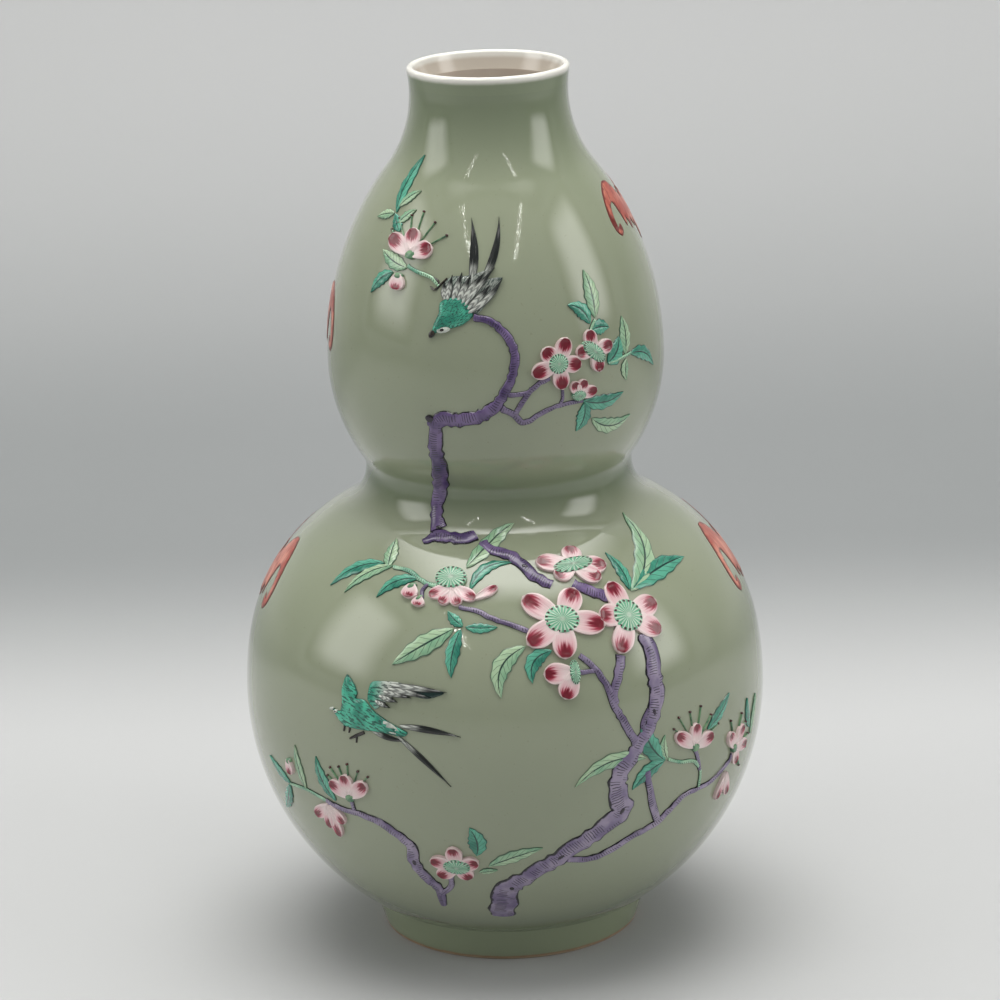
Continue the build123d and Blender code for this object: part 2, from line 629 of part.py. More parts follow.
def patch_sprigs(table, relief):
    """Bodies and spread wings of the birds."""
    for node, patches in table.items():
        for corners in patches:
            yield Sprig(node, relief, corners, patch_outline)


def leaf_sprigs(table, relief):
    """Leaves, and the long tail feathers that have their outline."""
    for node, leaves in table.items():
        for stalk, tip, width, bend in leaves:
            draw = leaf_outline(width * SPRIG_BREADTH, bend * SPRIG_BREADTH)
            yield Sprig(node, relief, [stalk, tip], draw)


def branch_sprigs(table, relief):
    """Runs of branches and twigs."""
    for node, runs in table.items():
        for run in runs:
            places = [(azimuth, share) for azimuth, share, _ in run]
            draw = ribbon_outline([width * SPRIG_BREADTH for _, _, width in run])
            yield Sprig(node, relief, places, draw)


def bat_sprigs():
    """Bats on both sides."""
    for node, rows in BAT_SHARES.items():
        for azimuth, share, size_share in rows:
            yield Sprig(node, BAT_RELIEF, [(azimuth, share)], bat_outline(size_share))


def sprigs():
    """Every moulded piece, those on top first."""
    return [
        *oval_sprigs(STAMEN_SHARES, STAMEN_RELIEF),
        *oval_sprigs(BUD_SHARES, BUD_RELIEF),
        *petal_sprigs(),
        *patch_sprigs(BIRD_BODY_SHARES, BIRD_RELIEF),
        *patch_sprigs(BIRD_WING_SHARES, FEATHER_RELIEF),
        *leaf_sprigs(BIRD_TAIL_SHARES, FEATHER_RELIEF),
        *leaf_sprigs(LEAF_SHARES, LEAF_RELIEF),
        *branch_sprigs(BRANCH_SHARES, BRANCH_RELIEF),
        *branch_sprigs(TWIG_SHARES, TWIG_RELIEF),
        *bat_sprigs(),
    ]


def laid_on_wall(pieces):
    """Solids of each node: every sprig fills the skin over the wall, less what covers it."""
    skins = {}
    laid = {}
    for index, piece in enumerate(pieces):
        if piece.relief not in skins:
            skins[piece.relief] = ring_section(FOOT_HEIGHT, LIP_SEAM, 0, piece.relief)
        above = [other.cutter for other in pieces[:index] if piece.meets(other)]
        shape = piece.cutter.cut(*above) if above else piece.cutter
        shape = shape.intersect(skins[piece.relief])
        kept = [solid for solid in shape.solids() if solid.volume > SMALLEST_SLIP**3]
        laid.setdefault(piece.node, []).extend(kept)
    return laid


def build():
    """All nodes of the vase by name."""
    pear = ARCS[6]
    neck_seam = arc_point(pear, pear[3], 0)[1]
    nodes = {
        "foot_ring": foot_ring(),
        "lower_bulb_base": lower_bulb_base(),
        "lower_bulb_shoulder": ring_section(LOWER_EQUATOR, WAIST, -WALL, 0),
        "upper_bulb_base": ring_section(WAIST, UPPER_EQUATOR, -WALL, 0),
        "upper_bulb_shoulder": ring_section(UPPER_EQUATOR, neck_seam, -WALL, 0),
        "neck": ring_section(neck_seam, LIP_SEAM, -WALL, 0),
        "lip": lip(),
    }
    for node, solids in laid_on_wall(sprigs()).items():
        nodes[node] = Compound(solids)
    return nodes


if __name__ == "__main__":
    for name, shape in build().items():
        export_step(shape, f"parts/{name}.step")
        print(name, len(shape.solids()), "solids")
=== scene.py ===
"""Double gourd vase: its glazes, enamels and raised sprigs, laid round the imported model."""

import logging
import math
from collections.abc import Callable, Iterable
from dataclasses import dataclass, field
from enum import Enum

import bmesh
import bpy
from mathutils import Matrix, Vector


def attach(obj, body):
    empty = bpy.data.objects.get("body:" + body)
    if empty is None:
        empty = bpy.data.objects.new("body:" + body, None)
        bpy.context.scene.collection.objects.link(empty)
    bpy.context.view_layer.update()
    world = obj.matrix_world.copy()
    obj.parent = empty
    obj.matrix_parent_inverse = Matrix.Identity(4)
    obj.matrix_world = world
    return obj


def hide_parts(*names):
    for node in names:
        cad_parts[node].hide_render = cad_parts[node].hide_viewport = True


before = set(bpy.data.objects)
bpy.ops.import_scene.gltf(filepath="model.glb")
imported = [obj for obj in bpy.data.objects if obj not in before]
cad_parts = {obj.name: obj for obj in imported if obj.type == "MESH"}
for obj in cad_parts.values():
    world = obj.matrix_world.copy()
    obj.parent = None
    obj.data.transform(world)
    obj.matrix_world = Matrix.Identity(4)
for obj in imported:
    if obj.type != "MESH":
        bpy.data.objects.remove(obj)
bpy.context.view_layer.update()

LOG = logging.getLogger("vase")
MM = 0.001
BODY = "root"
UP = Vector((0, 0, 1))

Place = tuple[float, float]


def blend_step(value: float, low: float, high: float) -> float:
    """Smooth 0 to 1 as value goes from low to high."""
    share = min(max((value - low) / (high - low), 0.0), 1.0)
    return share * share * (3 - 2 * share)


def tone(red: int, green: int, blue: int) -> tuple[float, float, float, float]:
    """Linear colour of a shade seen on a screen.

    Args:
        red: 0 to 255.
        green: 0 to 255.
        blue: 0 to 255.

    Returns:
        The colour as a shader takes it.
    """
    parts = [part / 255 for part in (red, green, blue)]
    linear = [part / 12.92 if part < 0.04045 else ((part + 0.055) / 1.055) ** 2.4 for part in parts]
    return (*linear, 1.0)


@dataclass(frozen=True)
class Arc:
    """One tangent arc of the upright section: its centre, signed bend and normal angles."""

    radius: float
    level: float
    bend: float
    first: float
    last: float

    def at(self, angle: float, lift: float = 0.0) -> tuple[float, float]:
        """Radius and level of the point with that normal angle, moved out by lift."""
        reach = self.bend + lift
        return self.radius + reach * math.cos(angle), self.level + reach * math.sin(angle)


@dataclass
class VaseWall:
    """The thrown profile from the foot to the mouth, in metres."""

    foot_level: float = 14.0 * MM
    lower_equator: float = 101.0 * MM
    waist: float = 192.0 * MM
    upper_equator: float = 236.0 * MM
    neck: float = 340.0 * MM
    height: float = 350.0 * MM
    foot_radius: float = 56.5 * MM
    lower_radius: float = 103.5 * MM
    waist_radius: float = 52.5 * MM
    upper_radius: float = 66.0 * MM
    neck_radius: float = 30.7 * MM
    crown_bend: float = 127.0 * MM
    shoulder_bend: float = 75.0 * MM
    waist_low_bend: float = 17.5 * MM
    waist_high_bend: float = 10.0 * MM
    neck_bend: float = 48.0 * MM
    wall: float = 4.2 * MM
    floor: float = 8.0 * MM
    arcs: list[Arc] = field(default_factory=list)

    def __post_init__(self) -> None:
        """Works out the arcs from the sizes."""
        run = self.lower_radius - self.foot_radius
        rise = self.lower_equator - self.foot_level
        bowl_bend = (run**2 + rise**2) / (2 * run)
        crown = (self.lower_radius - self.crown_bend, self.lower_equator)
        hollow_low = (self.waist_radius + self.waist_low_bend, self.waist)
        shoulder = self.between(crown, self.crown_bend - self.shoulder_bend, hollow_low)
        hollow_high = (self.waist_radius + self.waist_high_bend, self.waist)
        cup_bend = self.bulge(self.waist_radius, self.waist, self.waist_high_bend)
        cup = (self.upper_radius - cup_bend, self.upper_equator)
        pear_bend = self.bulge(self.neck_radius, self.neck, self.neck_bend)
        pear = (self.upper_radius - pear_bend, self.upper_equator)
        throat = (self.neck_radius + self.neck_bend, self.neck)
        crown_angle = self.slope(crown, shoulder)
        shoulder_angle = self.slope(shoulder, hollow_low)
        cup_angle = self.slope(cup, hollow_high)
        pear_angle = self.slope(pear, throat)
        mouth_angle = -math.asin((self.height - self.neck) / self.neck_bend)
        self.arcs = [
            Arc(self.lower_radius - bowl_bend, self.lower_equator, bowl_bend, -math.asin(rise / bowl_bend), 0),
            Arc(*crown, self.crown_bend, 0, crown_angle),
            Arc(*shoulder, self.shoulder_bend, crown_angle, shoulder_angle),
            Arc(*hollow_low, -self.waist_low_bend, shoulder_angle, 0),
            Arc(*hollow_high, -self.waist_high_bend, 0, cup_angle),
            Arc(*cup, cup_bend, cup_angle, 0),
            Arc(*pear, pear_bend, 0, pear_angle),
            Arc(*throat, -self.neck_bend, pear_angle, mouth_angle),
        ]

    def between(self, first: Place, first_reach: float, second: Place) -> Place:
        """Centre of the shoulder's arc, from the crown's centre and the waist's."""
        second_reach = self.shoulder_bend + self.waist_low_bend
        apart = math.dist(first, second)
        along = (first_reach**2 - second_reach**2 + apart**2) / (2 * apart)
        aside = math.sqrt(first_reach**2 - along**2)
        ux, uz = (second[0] - first[0]) / apart, (second[1] - first[1]) / apart
        return first[0] + along * ux + aside * uz, first[1] + along * uz - aside * ux

    def bulge(self, hollow_radius: float, hollow_level: float, hollow_bend: float) -> float:
        """Bend of the upper bulb's arc that meets a hollow's arc."""
        rise = self.upper_equator - hollow_level
        offset = hollow_radius + hollow_bend - self.upper_radius
        return (offset**2 + rise**2 - hollow_bend**2) / (2 * (self.upper_radius - hollow_radius))

    @staticmethod
    def slope(first: Place, second: Place) -> float:
        """Normal angle where two tangent arcs meet."""
        return math.atan2(second[1] - first[1], second[0] - first[0])

    def section(self, level: float) -> tuple[float, float]:
        """Radius of the wall and angle of its normal at a level."""
        level = min(max(level, self.foot_level), self.height)
        for arc in self.arcs:
            if arc.at(arc.last)[1] >= level - 1e-9:
                angle = math.asin(min(max((level - arc.level) / arc.bend, -1.0), 1.0))
                return arc.at(angle)[0], angle
        return self.neck_radius, 0.0

    def outward(self, place: Place) -> Vector:
        """Outward normal at a place, given as azimuth and share of the height."""
        _, angle = self.section(place[1] * self.height)
        turn = math.radians(place[0])
        flat = math.cos(angle)
        return Vector((flat * math.sin(turn), -flat * math.cos(turn), math.sin(angle)))

    def point(self, place: Place, lift: float = 0.0) -> Vector:
        """Point of the wall at a place, moved out by lift."""
        radius, _ = self.section(place[1] * self.height)
        turn = math.radians(place[0])
        spot = Vector((radius * math.sin(turn), -radius * math.cos(turn), place[1] * self.height))
        return spot + self.outward(place) * lift

    def metre_steps(self, place: Place) -> tuple[float, float]:
        """Metres along the wall for a degree of azimuth and for a unit share of the height."""
        radius, angle = self.section(place[1] * self.height)
        return math.radians(1) * radius, self.height / max(math.cos(angle), 0.3)

    def shifted(self, place: Place, across: float, up: float) -> Place:
        """Place that lies metres to the right of another and above it on the wall."""
        per_degree, per_share = self.metre_steps(place)
        return place[0] + across / per_degree, place[1] + up / per_share

    def edge(self, low: float, high: float, lift: float, step: float) -> list[tuple[float, float]]:
        """Radius and level of points up the wall.

        Args:
            low: Lowest level.
            high: Highest level.
            lift: How far the points stand out of the wall; negative is the inside.
            step: Greatest distance between points.

        Returns:
            The points from low to high.
        """
        points: list[tuple[float, float]] = []
        for arc in self.arcs:
            bottom = max(arc.at(arc.first, lift)[1], low)
            top = min(arc.at(arc.last, lift)[1], high)
            if top - bottom < step / 50:
                continue
            reach = arc.bend + lift
            start = math.asin((bottom - arc.level) / reach)
            end = math.asin((top - arc.level) / reach)
            count = max(2, math.ceil(abs((end - start) * reach) / step))
            for index in range(0 if not points else 1, count + 1):
                points.append(arc.at(start + (end - start) * index / count, lift))
        return points


WALL = VaseWall()


class Channel:
    """A value that changes over a surface: a node's output socket, with arithmetic."""

    def __init__(self, sheet: "NodeSheet", socket: bpy.types.NodeSocket) -> None:
        """Keeps the socket and the sheet that it is on."""
        self.sheet = sheet
        self.socket = socket

    def math(self, operation: str, *others: "Channel | float", clamp: bool = False) -> "Channel":
        """Result of a Math node on this value and up to two others."""
        inputs = dict(enumerate((self, *others)))
        return self.sheet.node("ShaderNodeMath", {"operation": operation, "use_clamp": clamp}, inputs)

    def reflected(self, operation: str, other: float) -> "Channel":
        """Result of a Math node with this value second."""
        return self.sheet.node("ShaderNodeMath", {"operation": operation}, {0: other, 1: self})

    def __add__(self, other: "Channel | float") -> "Channel":
        """Sum."""
        return self.math("ADD", other)

    def __radd__(self, other: float) -> "Channel":
        """Sum with a number first."""
        return self.reflected("ADD", other)

    def __sub__(self, other: "Channel | float") -> "Channel":
        """Difference."""
        return self.math("SUBTRACT", other)

    def __rsub__(self, other: float) -> "Channel":
        """Difference from a number."""
        return self.reflected("SUBTRACT", other)

    def __mul__(self, other: "Channel | float") -> "Channel":
        """Product."""
        return self.math("MULTIPLY", other)

    def __rmul__(self, other: float) -> "Channel":
        """Product with a number first."""
        return self.reflected("MULTIPLY", other)

    def __truediv__(self, other: "Channel | float") -> "Channel":
        """Quotient."""
        return self.math("DIVIDE", other)

    def __neg__(self) -> "Channel":
        """Opposite."""
        return self.reflected("SUBTRACT", 0.0)

    def size(self) -> "Channel":
        """Absolute value."""
        return self.math("ABSOLUTE")

    def fraction(self) -> "Channel":
        """Part after the point."""
        return self.math("FRACT")

    def wave(self) -> "Channel":
        """Sine."""
        return self.math("SINE")

    def rises(self, low: float, high: float) -> "Channel":
        """Smooth 0 to 1 from low to high; falls where high is the smaller."""
        if high < low:
            return 1 - self.rises(high, low)
        settings = {"interpolation_type": "SMOOTHSTEP"}
        return self.sheet.node("ShaderNodeMapRange", settings, {"Value": self, "From Min": low, "From Max": high})


class NodeSheet:
    """The node tree of one finish, written as expressions."""

    def __init__(self, name: str) -> None:
        """Makes the material and its shader."""
        self.material = bpy.data.materials.new(name)
        self.material.use_nodes = True
        self.tree = self.material.node_tree
        self.tree.nodes.clear()
        self.shader = self.tree.nodes.new("ShaderNodeBsdfPrincipled")
        output = self.tree.nodes.new("ShaderNodeOutputMaterial")
        self.tree.links.new(self.shader.outputs[0], output.inputs[0])

    def node(
        self, kind: str, settings: dict | None = None, inputs: dict | None = None, output: int | str = 0
    ) -> Channel:
        """Adds a node.

        Args:
            kind: The node's type.
            settings: Its own settings, such as an operation or a ramp's stops.
            inputs: Values or channels of its sockets.
            output: The socket that is wanted.

        Returns:
            That output as a channel.
        """
        made = self.tree.nodes.new(kind)
        for name, value in (settings or {}).items():
            if name == "stops":
                self.set_stops(made, value)
            else:
                setattr(made, name, value)
        for name, value in (inputs or {}).items():
            self.feed(made.inputs[name], value)
        return Channel(self, made.outputs[output])

    def feed(self, socket: bpy.types.NodeSocket, value: object) -> None:
        """Links a channel to a socket, or sets its value."""
        if isinstance(value, Channel):
            self.tree.links.new(value.socket, socket)
        else:
            socket.default_value = value

    @staticmethod
    def set_stops(ramp: bpy.types.Node, stops: list[tuple[float, tuple]]) -> None:
        """Gives a colour ramp its stops."""
        elements = ramp.color_ramp.elements
        while len(elements) < len(stops):
            elements.new(1.0)
        for element, (position, colour) in zip(elements, stops):
            element.position = position
            element.color = colour

    def mix(self, share: Channel | float, first: object, second: object) -> Channel:
        """Colour between two others."""
        return self.node("ShaderNodeMix", {"data_type": "RGBA"}, {0: share, 6: first, 7: second}, 2)

    def ramp(self, value: Channel, stops: list[tuple[float, tuple]]) -> Channel:
        """Colour by a value through stops."""
        return self.node("ShaderNodeValToRGB", {"stops": stops}, {0: value})

    def place(self) -> Channel:
        """Object coordinates."""
        return self.node("ShaderNodeTexCoord", output="Object")

    def along_across(self) -> tuple[Channel, Channel]:
        """The piece's own coordinates: along it, and across it from -1 to 1."""
        spot = self.node("ShaderNodeUVMap", {"uv_map": "sprig"})
        along = self.node("ShaderNodeSeparateXYZ", inputs={0: spot}, output=0)
        across = self.node("ShaderNodeSeparateXYZ", inputs={0: spot}, output=1)
        return along, across * 2 - 1

    def noise(self, scale: float, detail: float = 2.0, vector: Channel | None = None) -> Channel:
        """Cloudy value about 0.5; the scale is in clouds for each metre."""
        spot = vector or self.place()
        return self.node("ShaderNodeTexNoise", inputs={"Vector": spot, "Scale": scale, "Detail": detail})

    def streaks(self, along: Channel, across: Channel, long_scale: float, cross_scale: float) -> Channel:
        """Cloudy value drawn out along the piece."""
        spot = self.node("ShaderNodeCombineXYZ", inputs={0: along * long_scale, 1: across * cross_scale})
        return self.noise(1.0, 3.0, spot)

    def dress(self, colour: object, roughness: object, coat: float, height: Channel | None, depth: float) -> None:
        """Feeds the shader.

        Args:
            colour: Base colour.
            roughness: Roughness of the surface.
            coat: Weight of the clear glass over it.
            height: Relief of the surface, if it has one.
            depth: Metres for a height of 1.
        """
        self.feed(self.shader.inputs["Base Color"], colour)
        self.feed(self.shader.inputs["Roughness"], roughness)
        self.shader.inputs["Coat Weight"].default_value = coat
        self.shader.inputs["Coat Roughness"].default_value = 0.025
        if height is not None:
            bump = self.node("ShaderNodeBump", inputs={"Strength": 1.0, "Distance": depth, "Height": height})
            self.feed(self.shader.inputs["Normal"], bump)


@dataclass(frozen=True)
class CeladonGlaze:
    """Pale green glaze over the thrown wall, deeper where it pooled, with painted shade in the waist crease and a
    painted dark reflection round the neck.
    """

    thin: tuple = tone(153, 160, 136)
    # Deep tone of pooled glaze, also used for the painted shade at the waist and the painted dark reflection on the
    # neck.
    pooled_and_shade_colour: tuple = tone(112, 126, 98)
    waist: float = 192.0 * MM
    waist_pool_and_shade_reach: float = 14.0 * MM
    ripple: float = 0.05 * MM

    def material(self) -> bpy.types.Material:
        """Makes the glaze."""
        sheet = NodeSheet("celadon_glaze")
        level = sheet.node("ShaderNodeSeparateXYZ", inputs={0: sheet.place()}, output=2)
        # Waist band: glaze pooled in the crease plus painted shade of the crease. Foot band: darker towards the foot.
        waist_pool_and_painted_shade = (level - self.waist).size().rises(self.waist_pool_and_shade_reach, 0.0)
        at_foot = level.rises(34.0 * MM, 15.0 * MM)
        cloud = sheet.noise(9.0, 3.0)
        # Painted dark reflection: the neck is darkened towards the mouth.
        neck_painted_dark_reflection = level.rises(300.0 * MM, 340.0 * MM)
        # The sum mixes real pooling and random cloud with the painted shade and the painted reflection.
        pooling_and_painted_shade = waist_pool_and_painted_shade * 0.75 + at_foot * 0.45 + neck_painted_dark_reflection * 0.55 + cloud.rises(0.35, 0.7) * 0.14
        pooling_and_painted_shade = pooling_and_painted_shade.math("MINIMUM", 1.0)
        colour = sheet.mix(pooling_and_painted_shade, self.thin, self.pooled_and_shade_colour)
        specks = sheet.noise(900.0, 1.0).rises(0.72, 0.78)
        colour = sheet.mix(specks * 0.25, colour, tone(120, 118, 88))
        height = sheet.noise(38.0, 2.0) + sheet.noise(420.0, 1.0) * 0.03
        sheet.dress(colour, 0.04 + cloud * 0.04, 0.5, height, self.ripple)
        return sheet.material


@dataclass(frozen=True)
class LinerGlaze:
    """Thin warm white glaze on the inside, faintly ribbed by the potter's fingers."""

    light: tuple = tone(232, 221, 208)
    deep: tuple = tone(208, 194, 180)

    def material(self) -> bpy.types.Material:
        """Makes the glaze."""
        sheet = NodeSheet("liner_glaze")
        level = sheet.node("ShaderNodeSeparateXYZ", inputs={0: sheet.place()}, output=2)
        ribs = (level * 900.0).wave() * 0.5 + 0.5
        colour = sheet.mix(sheet.noise(26.0, 3.0).rises(0.3, 0.75), self.light, self.deep)
        sheet.dress(colour, 0.16, 0.3, ribs + sheet.noise(60.0), 0.08 * MM)
        return sheet.material


@dataclass(frozen=True)
class LipGlaze:
    """White glaze of the rim, warm where it runs thin over the edge."""

    white: tuple = tone(240, 238, 230)
    warm: tuple = tone(206, 196, 182)
    # Matches the neck's glaze where it is darkened by the painted dark reflection.
    celadon: tuple = tone(132, 143, 116)
    bore: float = 29.4 * MM

    def material(self) -> bpy.types.Material:
        """Makes the glaze: white on the crest only, celadon outside it and warm inside."""
        sheet = NodeSheet("lip_glaze")
        level = sheet.node("ShaderNodeSeparateXYZ", inputs={0: sheet.place()}, output=2)
        flat = sheet.node("ShaderNodeVectorMath", {"operation": "MULTIPLY"}, {0: sheet.place(), 1: (1, 1, 0)})
        reach = sheet.node("ShaderNodeVectorMath", {"operation": "LENGTH"}, {0: flat}, "Value")
        uneven = sheet.noise(120.0, 3.0) * (0.6 * MM)
        crest = (level + uneven).rises(347.0 * MM, 348.9 * MM)
        colour = sheet.mix(reach.rises(self.bore, self.bore + 0.3 * MM), self.warm, self.celadon)
        colour = sheet.mix(crest, colour, self.white)
        sheet.dress(colour, 0.1, 0.4, sheet.noise(90.0), 0.06 * MM)
        return sheet.material


@dataclass(frozen=True)
class FootGlaze:
    """Celadon of the foot, wiped off its standing edge, where the body shows rusty."""

    glaze: tuple = tone(150, 160, 132)
    clay: tuple = tone(196, 178, 152)
    rust: tuple = tone(140, 96, 62)
    wiped: float = 1.6 * MM

    def material(self) -> bpy.types.Material:
        """Makes the glaze."""
        sheet = NodeSheet("foot_glaze")
        level = sheet.node("ShaderNodeSeparateXYZ", inputs={0: sheet.place()}, output=2)
        uneven = sheet.noise(160.0, 3.0) * (0.8 * MM)
        bare = (level + uneven).rises(self.wiped + 0.5 * MM, self.wiped)
        burnt = (level + uneven - self.wiped).size().rises(0.7 * MM, 0.0)
        colour = sheet.mix(bare, self.glaze, self.clay)
        colour = sheet.mix(burnt * 0.75, colour, self.rust)
        sheet.dress(colour, 0.12 + bare * 0.6, 0.0, sheet.noise(300.0, 3.0), 0.05 * MM)
        return sheet.material


@dataclass(frozen=True)
class PetalEnamel:
    """Opaque white enamel shaded with pink and tipped with crimson."""

    name: str = "petal_enamel"
    blotch: float = 0.48
    white: tuple = tone(236, 216, 214)
    pink: tuple = tone(216, 134, 152)
    crimson: tuple = tone(160, 28, 60)
    wine: tuple = tone(106, 8, 28)

    def material(self) -> bpy.types.Material:
        """Makes the enamel."""
        sheet = NodeSheet(self.name)
        along, across = sheet.along_across()
        streak = sheet.streaks(along, across, 2.0, 9.0)
        blush = (along + streak * 0.5 - 0.25).rises(0.2, 0.75)
        tip = along + streak * 0.5 - 0.25 - across.size() * 0.2
        core = tip.rises(self.blotch, self.blotch + 0.2)
        deep = (tip - across.size() * 0.15).rises(self.blotch + 0.06, self.blotch + 0.24)
        # Painted highlight: the petal's edge and tip are lightened to white where the raised enamel catches the light.
        rim = across.size().rises(0.7, 0.88).math("MAXIMUM", along.rises(0.93, 0.98))
        colour = sheet.mix(blush * 0.62, self.white, self.pink)
        colour = sheet.mix(core * 0.95, colour, self.crimson)
        colour = sheet.mix(deep * 0.9, colour, self.wine)
        colour = sheet.mix(rim * 0.8, colour, self.white)
        sheet.dress(colour, 0.22, 0.5, streak * 0.6 + rim * 0.5, 0.12 * MM)
        return sheet.material


@dataclass(frozen=True)
class StamenEnamel:
    """Pale green pad with fine white filaments and a ring of dark anthers."""

    green: tuple = tone(112, 184, 146)
    pale: tuple = tone(222, 240, 220)
    dark: tuple = tone(70, 22, 34)
    filaments: int = 22
    anthers: int = 17

    def material(self) -> bpy.types.Material:
        """Makes the enamel."""
        sheet = NodeSheet("stamen_enamel")
        radial, round_share = sheet.along_across()
        turn = (round_share + 1) * math.pi
        wobble = sheet.noise(500.0, 2.0) * 2.2
        lines = ((turn * self.filaments + wobble).wave() * 0.5 + 0.5).rises(0.35, 0.85)
        heart = radial.rises(0.24, 0.08)
        bead = ((turn * self.anthers + wobble * 0.6).wave() * 0.5 + 0.5).rises(0.5, 0.75)
        ring = (radial - 0.9).size().rises(0.1, 0.03)
        colour = sheet.mix(lines * 0.75, self.green, self.pale)
        colour = sheet.mix(heart * 0.7, colour, self.pale)
        colour = sheet.mix(bead * ring, colour, self.dark)
        sheet.dress(colour, 0.28, 0.4, lines + bead * ring, 0.25 * MM)
        return sheet.material


class LeafTint(Enum):
    """Washes of the translucent leaf enamels."""

    DARK = "dark_leaf_enamel"
    PALE = "pale_leaf_enamel"


@dataclass(frozen=True)
class LeafEnamel:
    """Translucent green wash over black pencilled veins."""

    tint: LeafTint
    light: tuple
    deep: tuple
    pencil: tuple = tone(20, 52, 48)

    def material(self) -> bpy.types.Material:
        """Makes the enamel."""
        sheet = NodeSheet(self.tint.value)
        along, across = sheet.along_across()
        cloud = sheet.noise(240.0, 2.0)
        half = (across + (cloud - 0.5) * 0.8).rises(-0.25, 0.35)
        colour = sheet.mix(half * 0.55 + cloud.rises(0.4, 0.7) * 0.35, self.light, self.deep)
        rib = across.size().rises(0.13, 0.05) * along.rises(0.99, 0.9)
        slant = (along * 8.0 - across.size() * 1.6).fraction()
        vein = (slant - 0.5).size().rises(0.1, 0.03) * across.size().rises(0.9, 0.7)
        outline = across.size().rises(0.84, 0.95)
        drawn = (rib * 0.95).math("MAXIMUM", vein * 0.55).math("MAXIMUM", outline * 0.75)
        colour = sheet.mix(drawn, colour, self.pencil)
        sheet.dress(colour, 0.2, 0.6, 1 - drawn, 0.12 * MM)
        return sheet.material


@dataclass(frozen=True)
class BarkEnamel:
    """Aubergine wash with groups of short black strokes and a black outline."""

    name: str
    light: tuple = tone(158, 146, 170)
    deep: tuple = tone(112, 98, 134)
    pencil: tuple = tone(22, 18, 30)
    stroke: float = 1.0

    def material(self) -> bpy.types.Material:
        """Makes the enamel; along the branch its coordinate is in millimetres."""
        sheet = NodeSheet(self.name)
        along, across = sheet.along_across()
        cloud = sheet.noise(120.0, 3.0)
        colour = sheet.mix(cloud.rises(0.32, 0.68), self.light, self.deep)
        jitter = sheet.noise(260.0, 1.0)
        beat = (along / self.stroke + across * 0.4 + jitter * 1.4).fraction()
        groups = sheet.streaks(along, across, 0.13, 0.0).rises(0.44, 0.5)
        side = (across + 0.2 + (jitter - 0.5) * 1.1).size().rises(0.5, 0.36)
        strokes = (beat - 0.5).size().rises(0.2, 0.1) * groups * side
        other = (across - 0.6 + (jitter - 0.5) * 0.5).size().rises(0.26, 0.16)
        strokes = strokes.math("MAXIMUM", (beat - 0.5).size().rises(0.18, 0.1) * (1 - groups) * other)
        edge = sheet.streaks(along, across, 0.3, 1.0)
        outline = (across.size() + (edge - 0.5) * 0.45).rises(0.82, 0.9)
        drawn = (strokes * 0.85).math("MAXIMUM", outline)
        colour = sheet.mix(drawn, colour, self.pencil)
        sheet.dress(colour, 0.24, 0.5, cloud + edge - drawn * 0.3, 0.16 * MM)
        return sheet.material


@dataclass(frozen=True)
class PlumageEnamel:
    """Blue-green wash on the birds, over short black strokes like scales."""

    name: str = "bird_enamel"
    light: tuple = tone(84, 196, 164)
    deep: tuple = tone(34, 138, 114)
    pencil: tuple = tone(12, 48, 44)
    far: tuple | None = None
    turn: Place = (0.0, 0.5)

    def material(self) -> bpy.types.Material:
        """Makes the enamel, which turns to the far colour and then to black along a wing."""
        sheet = NodeSheet(self.name)
        along, across = sheet.along_across()
        cloud = sheet.noise(150.0, 2.0)
        barbs = sheet.streaks(along, across, 7.0, 26.0)
        colour = sheet.mix(cloud.rises(0.35, 0.65), self.light, self.deep)
        rim = sheet.node("ShaderNodeAttribute", {"attribute_name": "rim"}, output="Fac")
        drawn = (barbs.rises(0.5, 0.58) * 0.8).math("MAXIMUM", rim.rises(0.7, 1.0) * 0.7)
        if self.far:
            colour = sheet.mix(along.rises(*self.turn), colour, self.far)
            drawn = drawn.math("MAXIMUM", (along + barbs * 0.8 - 0.4).rises(self.turn[1] + 0.2, self.turn[1] + 0.5))
        colour = sheet.mix(drawn, colour, self.pencil)
        sheet.dress(colour, 0.25, 0.4, 1 - drawn, 0.12 * MM)
        return sheet.material


@dataclass(frozen=True)
class FeatherEnamel:
    """White quill with black barbs that close to solid black at the tip."""

    white: tuple = tone(204, 208, 200)
    black: tuple = tone(14, 20, 18)
    name: str = "feather_enamel"
    closing: float = 0.58

    def material(self) -> bpy.types.Material:
        """Makes the enamel."""
        sheet = NodeSheet(self.name)
        along, across = sheet.along_across()
        streak = sheet.streaks(along, across, 3.0, 7.0)
        barbs = (along * 26.0 + across.size() * 5.0 + streak * 3.0).wave().rises(-0.2, 0.5)
        tip = (along + (streak - 0.5) * 0.5).rises(self.closing - 0.1, self.closing + 0.12)
        outline = across.size().rises(0.62, 0.85)
        drawn = tip.math("MAXIMUM", barbs * 0.6).math("MAXIMUM", outline * 0.9)
        colour = sheet.mix(drawn, self.white, self.black)
        sheet.dress(colour, 0.3, 0.3, 1 - drawn, 0.1 * MM)
        return sheet.material


